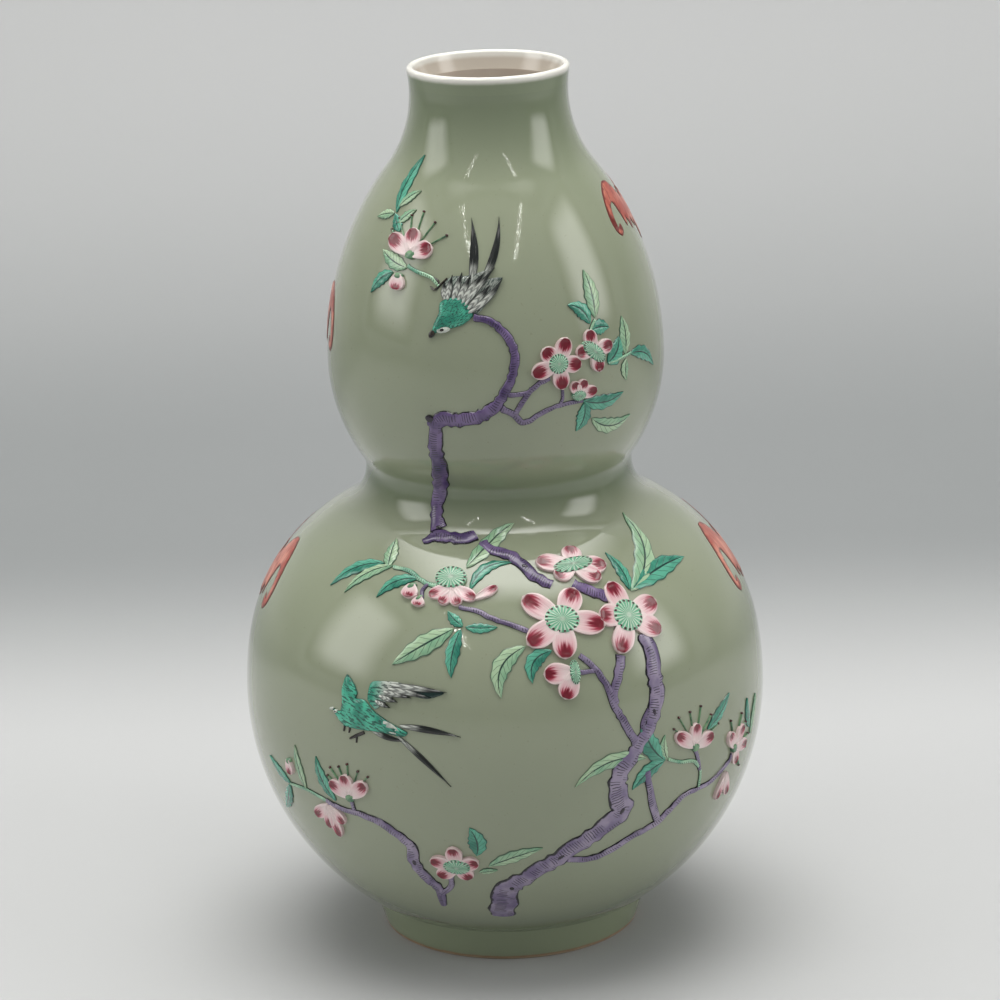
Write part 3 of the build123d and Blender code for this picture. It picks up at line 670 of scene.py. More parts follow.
@dataclass(frozen=True)
class BatEnamel:
    """Thin iron red, brushed on unevenly and drawn over with a darker line."""

    light: tuple = tone(214, 138, 116)
    deep: tuple = tone(170, 74, 58)
    line: tuple = tone(112, 36, 30)

    def material(self) -> bpy.types.Material:
        """Makes the enamel."""
        sheet = NodeSheet("bat_enamel")
        along, across = sheet.along_across()
        cloud = sheet.noise(110.0, 3.0)
        colour = sheet.mix(cloud.rises(0.36, 0.62), self.light, self.deep)
        fingers = (across.size() * 5.0 + along * 1.5 + cloud).fraction()
        drawn = (fingers - 0.5).size().rises(0.07, 0.02)
        rim = sheet.node("ShaderNodeAttribute", {"attribute_name": "rim"}, output="Fac")
        drawn = (drawn * 0.7).math("MAXIMUM", rim.rises(0.4, 0.8))
        colour = sheet.mix(drawn, colour, self.line)
        sheet.dress(colour, 0.35, 0.2, cloud, 0.08 * MM)
        return sheet.material


@dataclass(frozen=True)
class PlainEnamel:
    """Small touches of one colour, such as an eye or a claw."""

    name: str
    colour: tuple
    shade: tuple

    def material(self) -> bpy.types.Material:
        """Makes the enamel."""
        sheet = NodeSheet(self.name)
        cloud = sheet.noise(420.0, 2.0)
        sheet.dress(sheet.mix(cloud.rises(0.35, 0.7), self.colour, self.shade), 0.25, 0.4, cloud, 0.05 * MM)
        return sheet.material


class Piece:
    """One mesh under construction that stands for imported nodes."""

    def __init__(self, name: str, slot: str, nodes: Iterable[str], finishes: list[bpy.types.Material]) -> None:
        """Starts an empty mesh with its own coordinates and rim value."""
        self.name = name
        self.slot = slot
        self.nodes = list(nodes)
        self.finishes = finishes
        self.mesh = bmesh.new()
        self.along_across = self.mesh.loops.layers.uv.new("sprig")
        self.rim = self.mesh.verts.layers.float.new("rim")

    def add(self, other: bmesh.types.BMesh, finish: int = 0) -> None:
        """Takes in the faces of a finished part and frees it."""
        for face in other.faces:
            face.material_index = finish
            face.smooth = True
        holder = bpy.data.meshes.new("holder")
        other.to_mesh(holder)
        other.free()
        self.mesh.from_mesh(holder)
        bpy.data.meshes.remove(holder)

    def place(self, sharp_angle: float = math.radians(50)) -> bpy.types.Object:
        """Makes the object, lays it in the frame and reports it."""
        for edge in self.mesh.edges:
            edge.smooth = edge.calc_face_angle(0.0) < sharp_angle
        data = bpy.data.meshes.new(self.name)
        self.mesh.to_mesh(data)
        self.mesh.free()
        for finish in self.finishes:
            data.materials.append(finish)
        thing = bpy.data.objects.new(self.name, data)
        bpy.context.scene.collection.objects.link(thing)
        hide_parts(*self.nodes)
        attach(thing, BODY)
        LOG.info("%s: %d faces for %s", self.name, len(data.polygons), ", ".join(self.nodes))
        return thing


def close_below(part: bmesh.types.BMesh, depth: Callable[[Vector], Vector]) -> None:
    """Gives a laid sheet its thickness, down into the wall.

    Args:
        part: The sheet, with outward faces.
        depth: Gives the place below a point of the sheet.
    """
    bmesh.ops.remove_doubles(part, verts=part.verts, dist=0.004 * MM)
    bmesh.ops.recalc_face_normals(part, faces=part.faces)
    made = bmesh.ops.extrude_face_region(part, geom=part.faces[:], use_keep_orig=True)
    for item in made["geom"]:
        if isinstance(item, bmesh.types.BMVert):
            item.co = depth(item.co)
    bmesh.ops.recalc_face_normals(part, faces=part.faces)


def under_wall(point: Vector) -> Vector:
    """Point just under the glaze, below a point over it."""
    radius = math.hypot(point.x, point.y)
    level = point.z
    wall_radius, angle = WALL.section(level)
    lift = (radius - wall_radius) * math.cos(angle) + 0.4 * MM
    outward = Vector((point.x / radius * math.cos(angle), point.y / radius * math.cos(angle), math.sin(angle)))
    return point - outward * lift


@dataclass
class Stroke:
    """A drawn-out piece on the wall: a line of places with a width at each and a height across it."""

    line: list[Place]
    widths: list[float]
    height: Callable[[float, float], float]
    across_steps: int = 8
    real_length: bool = False
    wobble: float = 0.0

    def smooth_line(self, steps: int) -> tuple[list[Place], list[float]]:
        """The line and widths through smooth bends, with steps pieces in all."""
        count = len(self.line)
        places, widths = [], []
        for index in range(steps + 1):
            spot = index / steps * (count - 1)
            start = min(int(spot), count - 2)
            share = spot - start
            corners = [min(max(start + k, 0), count - 1) for k in (-1, 0, 1, 2)]
            weights = (
                -0.5 * share + share**2 - 0.5 * share**3,
                1 - 2.5 * share**2 + 1.5 * share**3,
                0.5 * share + 2 * share**2 - 1.5 * share**3,
                -0.5 * share**2 + 0.5 * share**3,
            )
            azimuth = sum(weight * self.line[k][0] for weight, k in zip(weights, corners))
            level = sum(weight * self.line[k][1] for weight, k in zip(weights, corners))
            places.append((azimuth, level))
            widths.append(self.widths[start] * (1 - share) + self.widths[start + 1] * share)
        return places, widths

    def mesh(self, steps: int) -> bmesh.types.BMesh:
        """Builds the closed piece from a grid bent onto the wall."""
        places, widths = self.smooth_line(steps)
        sides, travelled = [], [0.0]
        for index, place in enumerate(places):
            before, after = places[max(index - 1, 0)], places[min(index + 1, steps)]
            per_degree, per_share = WALL.metre_steps(place)
            way = Vector(((after[0] - before[0]) * per_degree, (after[1] - before[1]) * per_share))
            sides.append(Vector((-way.y, way.x)).normalized())
            if index:
                last = places[index - 1]
                travelled.append(
                    travelled[-1] + math.hypot((place[0] - last[0]) * per_degree, (place[1] - last[1]) * per_share)
                )
        part = bmesh.new()
        layer = part.loops.layers.uv.new("sprig")
        part.verts.layers.float.new("rim")
        bmesh.ops.create_grid(part, x_segments=steps, y_segments=self.across_steps, size=1.0)
        for face in part.faces:
            for loop in face.loops:
                index = round((loop.vert.co.x + 1) / 2 * steps)
                along = travelled[index] / MM if self.real_length else index / steps
                loop[layer].uv = (along, (loop.vert.co.y + 1) / 2)
        for vert in part.verts:
            index = round((vert.co.x + 1) / 2 * steps)
            across = vert.co.y
            knotty = 1 + self.wobble * math.sin(index * 0.85 + 1.7 * math.sin(index * 0.41) + 1.3 * across)
            offset = sides[index] * (across * widths[index] / 2 * knotty)
            spot = WALL.shifted(places[index], offset.x, offset.y)
            vert.co = WALL.point(spot, self.height(index / steps, across))
        close_below(part, under_wall)
        return part


@dataclass
class Pad:
    """An oval pad on the wall, domed and finely ridged towards its edge."""

    middle: Place
    half_width: float
    half_height: float
    turn: float
    base: float
    relief: float
    ridges: int = 0

    def mesh(self) -> bmesh.types.BMesh:
        """Builds the closed pad from a grid rolled into a disc."""
        round_steps, radial_steps = max(28, self.ridges * 4), 7
        part = bmesh.new()
        layer = part.loops.layers.uv.new("sprig")
        part.verts.layers.float.new("rim")
        bmesh.ops.create_grid(part, x_segments=radial_steps, y_segments=round_steps, size=1.0)
        for face in part.faces:
            for loop in face.loops:
                loop[layer].uv = ((loop.vert.co.x + 1) / 2, (loop.vert.co.y + 1) / 2)
        tilt = math.radians(self.turn)
        for vert in part.verts:
            radial, angle = (vert.co.x + 1) / 2, (vert.co.y + 1) * math.pi
            x = radial * self.half_width * math.cos(angle)
            y = radial * self.half_height * math.sin(angle)
            spot = WALL.shifted(
                self.middle, x * math.cos(tilt) - y * math.sin(tilt), x * math.sin(tilt) + y * math.cos(tilt)
            )
            ridge = 0.1 * MM * math.sin(self.ridges * angle) * blend_step(radial, 0.2, 0.8) if self.ridges else 0.0
            dome = self.relief * math.sqrt(max(0.0, 1 - radial**2 * 0.92))
            vert.co = WALL.point(spot, self.base + dome + ridge)
        close_below(part, under_wall)
        return part


@dataclass
class Patch:
    """A cut-out piece on the wall with any outline, rounded along its rim."""

    outline: list[Place]
    relief: float
    rim_width: float = 0.55 * MM
    step: float = 2.2 * MM
    heading: float = 90.0

    @staticmethod
    def edge_distance(spot: Vector, flat: list[Vector]) -> float:
        """Distance from a spot to the nearest side of the flat outline."""
        nearest = math.inf
        for start, end in zip(flat, flat[1:] + flat[:1]):
            side = end - start
            share = min(max((spot - start).dot(side) / max(side.length_squared, 1e-12), 0.0), 1.0)
            nearest = min(nearest, (start + side * share - spot).length)
        return nearest

    def rounded(self) -> list[Place]:
        """The outline through smooth bends."""
        count = len(self.outline)
        places: list[Place] = []
        for index in range(count):
            before, start, end, after = (self.outline[(index + k) % count] for k in (-1, 0, 1, 2))
            for share in (0.0, 0.34, 0.67):
                weights = (
                    0.35 * (-share + 2 * share**2 - share**3),
                    1 - 2.65 * share**2 + 1.65 * share**3,
                    0.35 * share + 2.3 * share**2 - 1.65 * share**3,
                    0.35 * (-(share**2) + share**3),
                )
                corners = (before, start, end, after)
                places.append(tuple(sum(w * c[k] for w, c in zip(weights, corners)) for k in (0, 1)))
        return places

    def mesh(self) -> bmesh.types.BMesh:
        """Builds the closed piece: a flat cut-out, inset, cut into small faces and bent onto the wall."""
        middle = tuple(sum(values) / len(self.outline) for values in zip(*self.outline))
        per_degree, per_share = WALL.metre_steps(middle)
        part = bmesh.new()
        layer = part.loops.layers.uv.new("sprig")
        rim = part.verts.layers.float.new("rim")
        corners = [
            part.verts.new(((azimuth - middle[0]) * per_degree, (share - middle[1]) * per_share, 0.0))
            for azimuth, share in self.rounded()
        ]
        part.faces.new(corners)
        bmesh.ops.recalc_face_normals(part, faces=part.faces)
        if part.faces[:][0].normal.z < 0:
            bmesh.ops.reverse_faces(part, faces=part.faces[:])
        flat = [corner.co.copy() for corner in corners]
        for _ in range(2):
            inner = [face for face in part.faces if not any(edge.is_boundary for edge in face.edges)]
            bmesh.ops.inset_region(
                part, faces=inner or part.faces[:], thickness=self.rim_width / 2, use_even_offset=True
            )
        reach = max(max(abs(v.co.x), abs(v.co.y)) for v in part.verts)
        ahead = Vector((math.cos(math.radians(self.heading)), math.sin(math.radians(self.heading)), 0.0))
        aside = Vector((-ahead.y, ahead.x, 0.0))
        for axis in (Vector((1, 0, 0)), Vector((0, 1, 0))):
            count = math.ceil(reach / self.step)
            for index in range(-count, count + 1):
                bmesh.ops.bisect_plane(
                    part, geom=part.verts[:] + part.edges[:] + part.faces[:], plane_co=axis * (index * self.step),
                    plane_no=axis, dist=0.01 * MM,
                )
        bmesh.ops.triangulate(part, faces=part.faces[:])
        for vert in part.verts:
            vert[rim] = 1 - min(self.edge_distance(vert.co, flat) / self.rim_width, 1.0)
        for face in part.faces:
            for loop in face.loops:
                loop[layer].uv = (loop.vert.co.dot(ahead) / reach, loop.vert.co.dot(aside) / reach / 2 + 0.5)
        for vert in part.verts:
            spot = (middle[0] + vert.co.x / per_degree, middle[1] + vert.co.y / per_share)
            vert.co = WALL.point(spot, self.relief * (1 - 0.55 * vert[rim]))
        close_below(part, under_wall)
        return part


def turned(profile: list[tuple[float, float]], steps: int = 192) -> bmesh.types.BMesh:
    """Full turn of a closed section given as radius and level."""
    part = bmesh.new()
    part.loops.layers.uv.new("sprig")
    part.verts.layers.float.new("rim")
    corners = [part.verts.new((radius, 0.0, level)) for radius, level in profile]
    pairs = list(zip(corners, corners[1:]))
    if profile[0][0] > 0 or profile[-1][0] > 0:
        pairs.append((corners[-1], corners[0]))
    edges = [part.edges.new(pair) for pair in pairs]
    bmesh.ops.spin(
        part, geom=corners + edges, cent=(0, 0, 0), axis=(0, 0, 1), angle=2 * math.pi, steps=steps, use_merge=True
    )
    bmesh.ops.remove_doubles(part, verts=part.verts, dist=0.002 * MM)
    bmesh.ops.recalc_face_normals(part, faces=part.faces)
    return part


@dataclass
class ThrownBody:
    """The glazed wall from the foot to the lip, with its floor."""

    lip_seam: float = 343.0 * MM
    step: float = 1.6 * MM
    lip_thickness: float = 2.8 * MM
    foot_bottom: float = 51.0 * MM
    foot_top: float = 55.5 * MM
    foot_ring_wall: float = 5.0 * MM
    foot_rounding: float = 1.2 * MM
    glaze: CeladonGlaze = CeladonGlaze()
    liner: LinerGlaze = LinerGlaze()
    rim_glaze: LipGlaze = LipGlaze()
    foot_glaze: FootGlaze = FootGlaze()

    def wall(self) -> bpy.types.Object:
        """The wall, glazed outside and lined inside."""
        floor_top = WALL.foot_level + WALL.floor
        outer = WALL.edge(WALL.foot_level, self.lip_seam, 0.0, self.step)
        inner = WALL.edge(floor_top, self.lip_seam, -WALL.wall, self.step * 1.5)
        profile = [(0.0, WALL.foot_level), *outer, *reversed(inner), (0.0, floor_top)]
        part = turned(profile)
        nodes = ["lower_bulb_base", "lower_bulb_shoulder", "upper_bulb_base", "upper_bulb_shoulder", "neck"]
        piece = Piece("glazed_wall", "celadon_glaze", nodes, [self.glaze.material(), self.liner.material()])
        piece.add(part)
        for face in piece.mesh.faces:
            middle = face.calc_center_median()
            radius, angle = WALL.section(middle.z)
            outward = Vector((middle.x, middle.y, 0)).normalized() * math.cos(angle) + UP * math.sin(angle)
            outside = face.normal.dot(outward) > 0 and math.hypot(middle.x, middle.y) > radius - WALL.wall / 2
            face.material_index = 0 if outside or middle.z < WALL.foot_level + MM else 1
        return piece.place()

    def lip(self) -> bpy.types.Object:
        """The white rim, rounded over the mouth."""
        rounding = self.lip_thickness / 2
        outer = WALL.edge(self.lip_seam, WALL.height - rounding, 0.0, self.step / 2)
        inner_start = WALL.edge(self.lip_seam, WALL.height, -WALL.wall, self.step)[0]
        top_radius, top_level = outer[-1]
        crest = [
            (top_radius - rounding + rounding * math.cos(angle), top_level + rounding * math.sin(angle))
            for angle in (math.pi * index / 12 for index in range(1, 13))
        ]
        piece = Piece("white_lip", "lip_glaze", ["lip"], [self.rim_glaze.material()])
        piece.add(turned([*outer, *crest, inner_start]))
        return piece.place()

    def foot(self) -> bpy.types.Object:
        """The turned foot ring with its bare standing edge."""
        bore = self.foot_bottom - self.foot_ring_wall
        slant = (self.foot_top - self.foot_bottom) / WALL.foot_level
        turn_steps = [math.pi / 2 * index / 5 for index in range(6)]
        rounding = self.foot_rounding
        outer_round = [
            (self.foot_bottom - rounding + rounding * math.sin(angle) + slant * rounding, rounding * (1 - math.cos(angle)))
            for angle in turn_steps
        ]
        inner_round = [
            (bore + rounding - rounding * math.sin(angle), rounding * (1 - math.cos(angle))) for angle in turn_steps
        ]
        profile = [*outer_round, (self.foot_top, WALL.foot_level), (bore, WALL.foot_level), *reversed(inner_round)]
        piece = Piece("turned_foot", "foot_glaze", ["foot_ring"], [self.foot_glaze.material()])
        piece.add(turned(profile))
        return piece.place()

    def build(self) -> None:
        """Makes all three."""
        self.wall()
        self.lip()
        self.foot()


@dataclass
class Blossoms:
    """Peach blossoms: petals round a pad of stamens, and buds."""

    stamen_pads: dict[str, list[tuple]]
    flowers: dict[str, list[tuple]]
    buds: dict[str, list[tuple]]
    side_views: tuple[Place, ...]
    petal_lift: float = 1.0 * MM
    petal_dome: float = 0.5 * MM

    def petal(self, heart: Place, tip: Place, width: float, order: int) -> bmesh.types.BMesh:
        """One petal, narrow at its claw and round at its tip."""
        steps = 14
        shares = [index / steps for index in range(steps + 1)]
        line = [(heart[0] + (tip[0] - heart[0]) * s, heart[1] + (tip[1] - heart[1]) * s) for s in shares]
        widths = []
        for s in shares:
            if s <= 0.62:
                widths.append(width * (0.42 + 0.58 * math.sin(s / 0.62 * math.pi / 2)))
            else:
                widths.append(width * max(0.0, 1 - ((s - 0.62) / 0.38) ** 2) ** 0.62)

        def height(along: float, across: float) -> float:
            edge = max(abs(across), blend_step(along, 0.76, 1.0))
            cup = 0.3 + 0.7 * blend_step(edge, 0.35, 0.8)
            return self.petal_lift + 0.03 * MM * order + self.petal_dome * cup * (1 - 0.6 * edge**9)

        return Stroke(line, widths, height).mesh(steps)

    def add_tuft(self, piece: Piece, heart: Place, tips: list[Place]) -> None:
        """Adds the filaments with their anthers and the green cup of a flower seen from its side."""
        per_degree, per_share = WALL.metre_steps(heart)
        flat = [Vector(((tip[0] - heart[0]) * per_degree, (tip[1] - heart[1]) * per_share)) for tip in tips]
        count = 6
        for index in range(count):
            spot = (index + 0.5) / count * (len(flat) - 1)
            low = min(int(spot), len(flat) - 2)
            way = flat[low].lerp(flat[low + 1], spot - low)
            way = way.normalized() * (max(side.length for side in flat) * (1.12 + 0.1 * (index % 2)))
            end = WALL.shifted(heart, way.x, way.y)
            line = [WALL.shifted(heart, way.x * share, way.y * share) for share in (0.2, 0.6, 1.0)]
            filament = Stroke(line, [0.5 * MM] * 3, lambda _, across: 0.75 * MM - 0.4 * MM * across**2, 4)
            piece.add(filament.mesh(8), 1)
            piece.add(Pad(end, 0.5 * MM, 0.5 * MM, 0, 0.5 * MM, 0.4 * MM).mesh(), 2)
        middle = sum(flat, Vector((0.0, 0.0))) / len(flat)
        foot = WALL.shifted(heart, -0.1 * middle.x, -0.1 * middle.y)
        turn = math.degrees(math.atan2(middle.y, middle.x)) - 90
        piece.add(Pad(foot, 2.0 * MM, 1.6 * MM, turn, 1.2 * MM, 0.5 * MM).mesh(), 1)

    def build(self) -> None:
        """Makes petals, pads and buds of both bulbs."""
        petal_finishes = {
            "upper_petals": PetalEnamel("small_petal_enamel", 0.34).material(),
            "lower_petals": PetalEnamel().material(),
        }
        petal_finish = petal_finishes["lower_petals"]
        anther_finish = PlainEnamel("anther_enamel", tone(84, 44, 40), tone(50, 26, 26)).material()
        stamen_finish = StamenEnamel().material()
        sepal_finish = PlainEnamel("sepal_enamel", tone(120, 160, 120), tone(64, 110, 84)).material()
        for node, rows in self.flowers.items():
            finishes = [petal_finishes[node], sepal_finish, anther_finish]
            piece = Piece(f"enamel_{node}", "petal_enamel", [node], finishes)
            for heart, width, tips in rows:
                for order, tip in enumerate(tips):
                    piece.add(self.petal(heart, tip, width * 1.06 * MM, order))
                if heart in self.side_views:
                    self.add_tuft(piece, heart, tips)
            piece.place()
        for node, rows in self.stamen_pads.items():
            piece = Piece(f"enamel_{node}", "stamen_enamel", [node], [stamen_finish])
            for azimuth, share, half_width, half_height, turn in rows:
                pad = Pad((azimuth, share), half_width * MM, half_height * MM, turn, 1.3 * MM, 0.7 * MM, 18)
                piece.add(pad.mesh())
            piece.place()
        for node, rows in self.buds.items():
            piece = Piece(f"enamel_{node}", "petal_enamel", [node], [petal_finish, sepal_finish])
            for azimuth, share, half_width, half_height, turn in rows:
                low = WALL.shifted((azimuth, share), 0.0, -half_height * MM)
                high = WALL.shifted((azimuth, share), 0.0, half_height * MM)
                piece.add(self.petal(high, low, half_width * 2 * MM, 4))
                cup = WALL.shifted((azimuth, share), 0.0, half_height * 0.8 * MM)
                piece.add(Pad(cup, half_width * 0.6 * MM, half_height * 0.35 * MM, turn, 1.0 * MM, 0.6 * MM).mesh(), 1)
            piece.place()


@dataclass
class Leaves:
    """Leaves in the dark and the pale wash."""

    sprays: dict[str, list[tuple]]
    lift: float = 0.3 * MM
    relief: float = 0.5 * MM

    def leaf(self, stalk: Place, tip: Place, width: float, bend: float) -> bmesh.types.BMesh:
        """One leaf, bowed to its left, with a wavy edge and a sunk midrib."""
        steps = 22
        per_degree, per_share = WALL.metre_steps(stalk)
        way = Vector(((tip[0] - stalk[0]) * per_degree, (tip[1] - stalk[1]) * per_share))
        side = Vector((-way.y, way.x)).normalized()
        line, widths = [], []
        for index in range(steps + 1):
            s = index / steps
            bow = bend * 4 * s * (1 - s)
            base = (stalk[0] + (tip[0] - stalk[0]) * s, stalk[1] + (tip[1] - stalk[1]) * s)
            line.append(WALL.shifted(base, side.x * bow, side.y * bow))
            body = math.sin(math.pi * s**0.85) ** 0.85 if 0 < s < 1 else 0.0
            wave = 1 + 0.09 * math.sin(s * 9.5 * math.pi)
            widths.append(width * 1.12 * body * wave)

        def height(along: float, across: float) -> float:
            groove = 0.16 * MM * (1 - blend_step(abs(across), 0.0, 0.22))
            ripple = 0.05 * MM * math.sin(along * 22 + abs(across) * 4)
            return self.lift + self.relief * (1 - across**2) ** 0.5 * 0.8 - groove + ripple

        return Stroke(line, widths, height, 10).mesh(steps)

    def build(self) -> None:
        """Makes the sprays of both washes."""
        finishes = {
            LeafTint.DARK: LeafEnamel(LeafTint.DARK, tone(96, 180, 152), tone(26, 118, 98)).material(),
            LeafTint.PALE: LeafEnamel(LeafTint.PALE, tone(180, 208, 170), tone(128, 178, 142)).material(),
        }
        for node, rows in self.sprays.items():
            tint = LeafTint.DARK if "dark" in node else LeafTint.PALE
            piece = Piece(f"enamel_{node}", tint.value, [node], [finishes[tint]])
            for stalk, tip, width, bend in rows:
                piece.add(self.leaf(stalk, tip, width * MM, bend * MM))
            piece.place()


@dataclass
class Branches:
    """Gnarled branches and thin twigs."""

    boughs: dict[str, list[list[tuple]]]
    twigs: dict[str, list[list[tuple]]]
    green_twigs: tuple[tuple[str, int], ...]
    knots: dict[str, list[tuple]]
    shaded: tuple[str, ...] = ("upper_branch", "crossing_branch")
    bough_relief: float = 1.0 * MM
    twig_relief: float = 0.75 * MM

    def run(self, rows: list[tuple], relief: float) -> bmesh.types.BMesh:
        """One run, half round and a little knotty."""
        line = [(azimuth, share) for azimuth, share, _ in rows]
        widths = [width * MM for _, _, width in rows]
        steps = (len(rows) - 1) * 7

        def height(along: float, across: float) -> float:
            knots = 0.09 * MM * math.sin(along * steps * 0.55) * (1 - across**2)
            return 0.15 * MM + relief * math.sqrt(max(0.0, 1 - across**2)) * 0.85 + knots

        return Stroke(line, widths, height, 8, real_length=True, wobble=0.13).mesh(steps)

    def build(self) -> None:
        """Makes every branch and twig."""
        bark = BarkEnamel("bark_enamel").material()
        shaded = BarkEnamel("shaded_bark_enamel", tone(122, 102, 146), tone(70, 52, 98)).material()
        knot = PlainEnamel("knot_enamel", tone(24, 18, 28), tone(52, 40, 60)).material()
        twig_bark = BarkEnamel("twig_enamel", tone(140, 128, 156), tone(92, 78, 112)).material()
        shoot = BarkEnamel("shoot_enamel", tone(168, 208, 172), tone(96, 160, 132), tone(34, 60, 50)).material()
        for node, runs in self.boughs.items():
            upper = node in self.shaded
            piece = Piece(f"enamel_{node}", "bark_enamel", [node], [shaded if upper else bark, knot])
            for rows in runs:
                piece.add(self.run(rows, self.bough_relief))
            for middle, half_width, half_height, turn in self.knots.get(node, ()):
                pad = Pad(middle, half_width * MM, half_height * MM, turn, 0.85 * MM, 0.3 * MM)
                piece.add(pad.mesh(), 1)
            piece.place()
        for node, runs in self.twigs.items():
            piece = Piece(f"enamel_{node}", "twig_enamel", [node], [twig_bark, shoot])
            for index, rows in enumerate(runs):
                piece.add(self.run(rows, self.twig_relief), int((node, index) in self.green_twigs))
            piece.place()


@dataclass
class Bird:
    """One bird: a modelled body, wings built of feathers, tail, feet and head marks."""

    name: str
    body: list[Place]
    wing: list[Place]
    wing_feathers: list[tuple]
    tail: list[tuple]
    feet: list[list[tuple]]
    marks: list[tuple]
    headings: tuple[float, float]

    def feather(self, root: Place, tip: Place, width: float, bend: float, lift: float) -> bmesh.types.BMesh:
        """One feather with a raised quill."""
        steps = 20
        per_degree, per_share = WALL.metre_steps(root)
        way = Vector(((tip[0] - root[0]) * per_degree, (tip[1] - root[1]) * per_share))
        side = Vector((-way.y, way.x)).normalized()
        line, widths = [], []
        for index in range(steps + 1):
            s = index / steps
            bow = bend * 4 * s * (1 - s)
            base = (root[0] + (tip[0] - root[0]) * s, root[1] + (tip[1] - root[1]) * s)
            line.append(WALL.shifted(base, side.x * bow, side.y * bow))
            widths.append(width * (0.35 + 0.65 * math.sin(math.pi * min(s * 1.1, 1) ** 0.8)) * (1 - s**6))

        def height(_: float, across: float) -> float:
            return lift + 0.35 * MM * (1 - abs(across)) ** 1.5

        return Stroke(line, widths, height, 6).mesh(steps)

    def build(self, plumage: bpy.types.Material, wing: bpy.types.Material, quills: list, touches: list) -> None:
        """Makes the bird's pieces.

        Args:
            plumage: Finish of the body.
            wing: Finish under the wing's feathers.
            quills: Finishes of the wing's feathers and of the tail's.
            touches: Finishes of the head marks and the feet.
        """
        quill, streamer = quills
        body = Piece(f"enamel_{self.name}_body", "bird_enamel", [f"{self.name}_body"], [plumage, *touches])
        body.add(Patch(self.body, 1.25 * MM, 0.8 * MM, 1.2 * MM, self.headings[0]).mesh())
        for middle, half_width, half_height, turn, finish, base in self.marks:
            pad = Pad(middle, half_width * MM, half_height * MM, turn, base * MM, 0.3 * MM)
            body.add(pad.mesh(), finish)
        for rows in self.feet:
            line = [(azimuth, share) for azimuth, share, _ in rows]
            widths = [width * MM for _, _, width in rows]
            foot = Stroke(line, widths, lambda _, across: 0.2 * MM + 0.5 * MM * (1 - across**2), 4)
            body.add(foot.mesh((len(rows) - 1) * 5), 1)
        body.place()
        wings = Piece(f"enamel_{self.name}_wings", "feather_enamel", [f"{self.name}_wings"], [quill, wing])
        wings.add(Patch(self.wing, 0.55 * MM, 0.6 * MM, 1.4 * MM, self.headings[1]).mesh(), 1)
        for index, (root, tip, width, bend) in enumerate(self.wing_feathers):
            wings.add(self.feather(root, tip, width * MM, bend * MM, 0.75 * MM + 0.05 * MM * index))
        wings.place()
        tail = Piece(f"enamel_{self.name}_tail", "feather_enamel", [f"{self.name}_tail"], [streamer])
        for root, tip, width, bend in self.tail:
            tail.add(self.feather(root, tip, width * MM, bend * MM, 0.3 * MM))
        tail.place()


@dataclass
class Bats:
    """Iron-red bats with spread, curled wings."""

    places: dict[str, list[tuple]]
    edge_shares: tuple[Place, ...]
    half_span: float = 36.0 * MM
    half_height: float = 19.0 * MM

    def build(self) -> None:
        """Makes the bats of both bulbs."""
        finish = BatEnamel().material()
        for node, rows in self.places.items():
            piece = Piece(f"enamel_{node}", "bat_enamel", [node], [finish])
            for azimuth, share, size in rows:
                right = [(a * self.half_span * size, b * self.half_height * size) for a, b in self.edge_shares]
                left = [(-x, y) for x, y in right[1:-1]]
                outline = right + left[::-1]
                per_degree, per_share = WALL.metre_steps((azimuth, share))
                places = [(azimuth + x / per_degree, share + y / per_share) for x, y in outline]
                piece.add(Patch(places, 0.35 * MM, 0.5 * MM, 3.0 * MM).mesh())
            piece.place()


# Places on the wall: azimuth in degrees and share of the height; widths in millimetres.
# Pads: azimuth, share, half width, half height, turn
STAMENS = {
    "upper_stamens": [(20.6, 0.7035, 3.8, 3.8, 0), (34, 0.7105, 6.0, 2.7, -42), (27.6, 0.6655, 2.8, 2.0, 0)],
    "lower_stamens": [
        (21.2, 0.4815, 8.2, 3.1, 6), (14.2, 0.4365, 6.6, 5.3, -8), (31.1, 0.4305, 5.9, 6.2, 0),
        (15.4, 0.385, 2.0, 4.6, 0), (-14.5, 0.4755, 6.0, 4.6, 0), (-12.5, 0.163, 5.2, 3.7, 0),
    ],
}
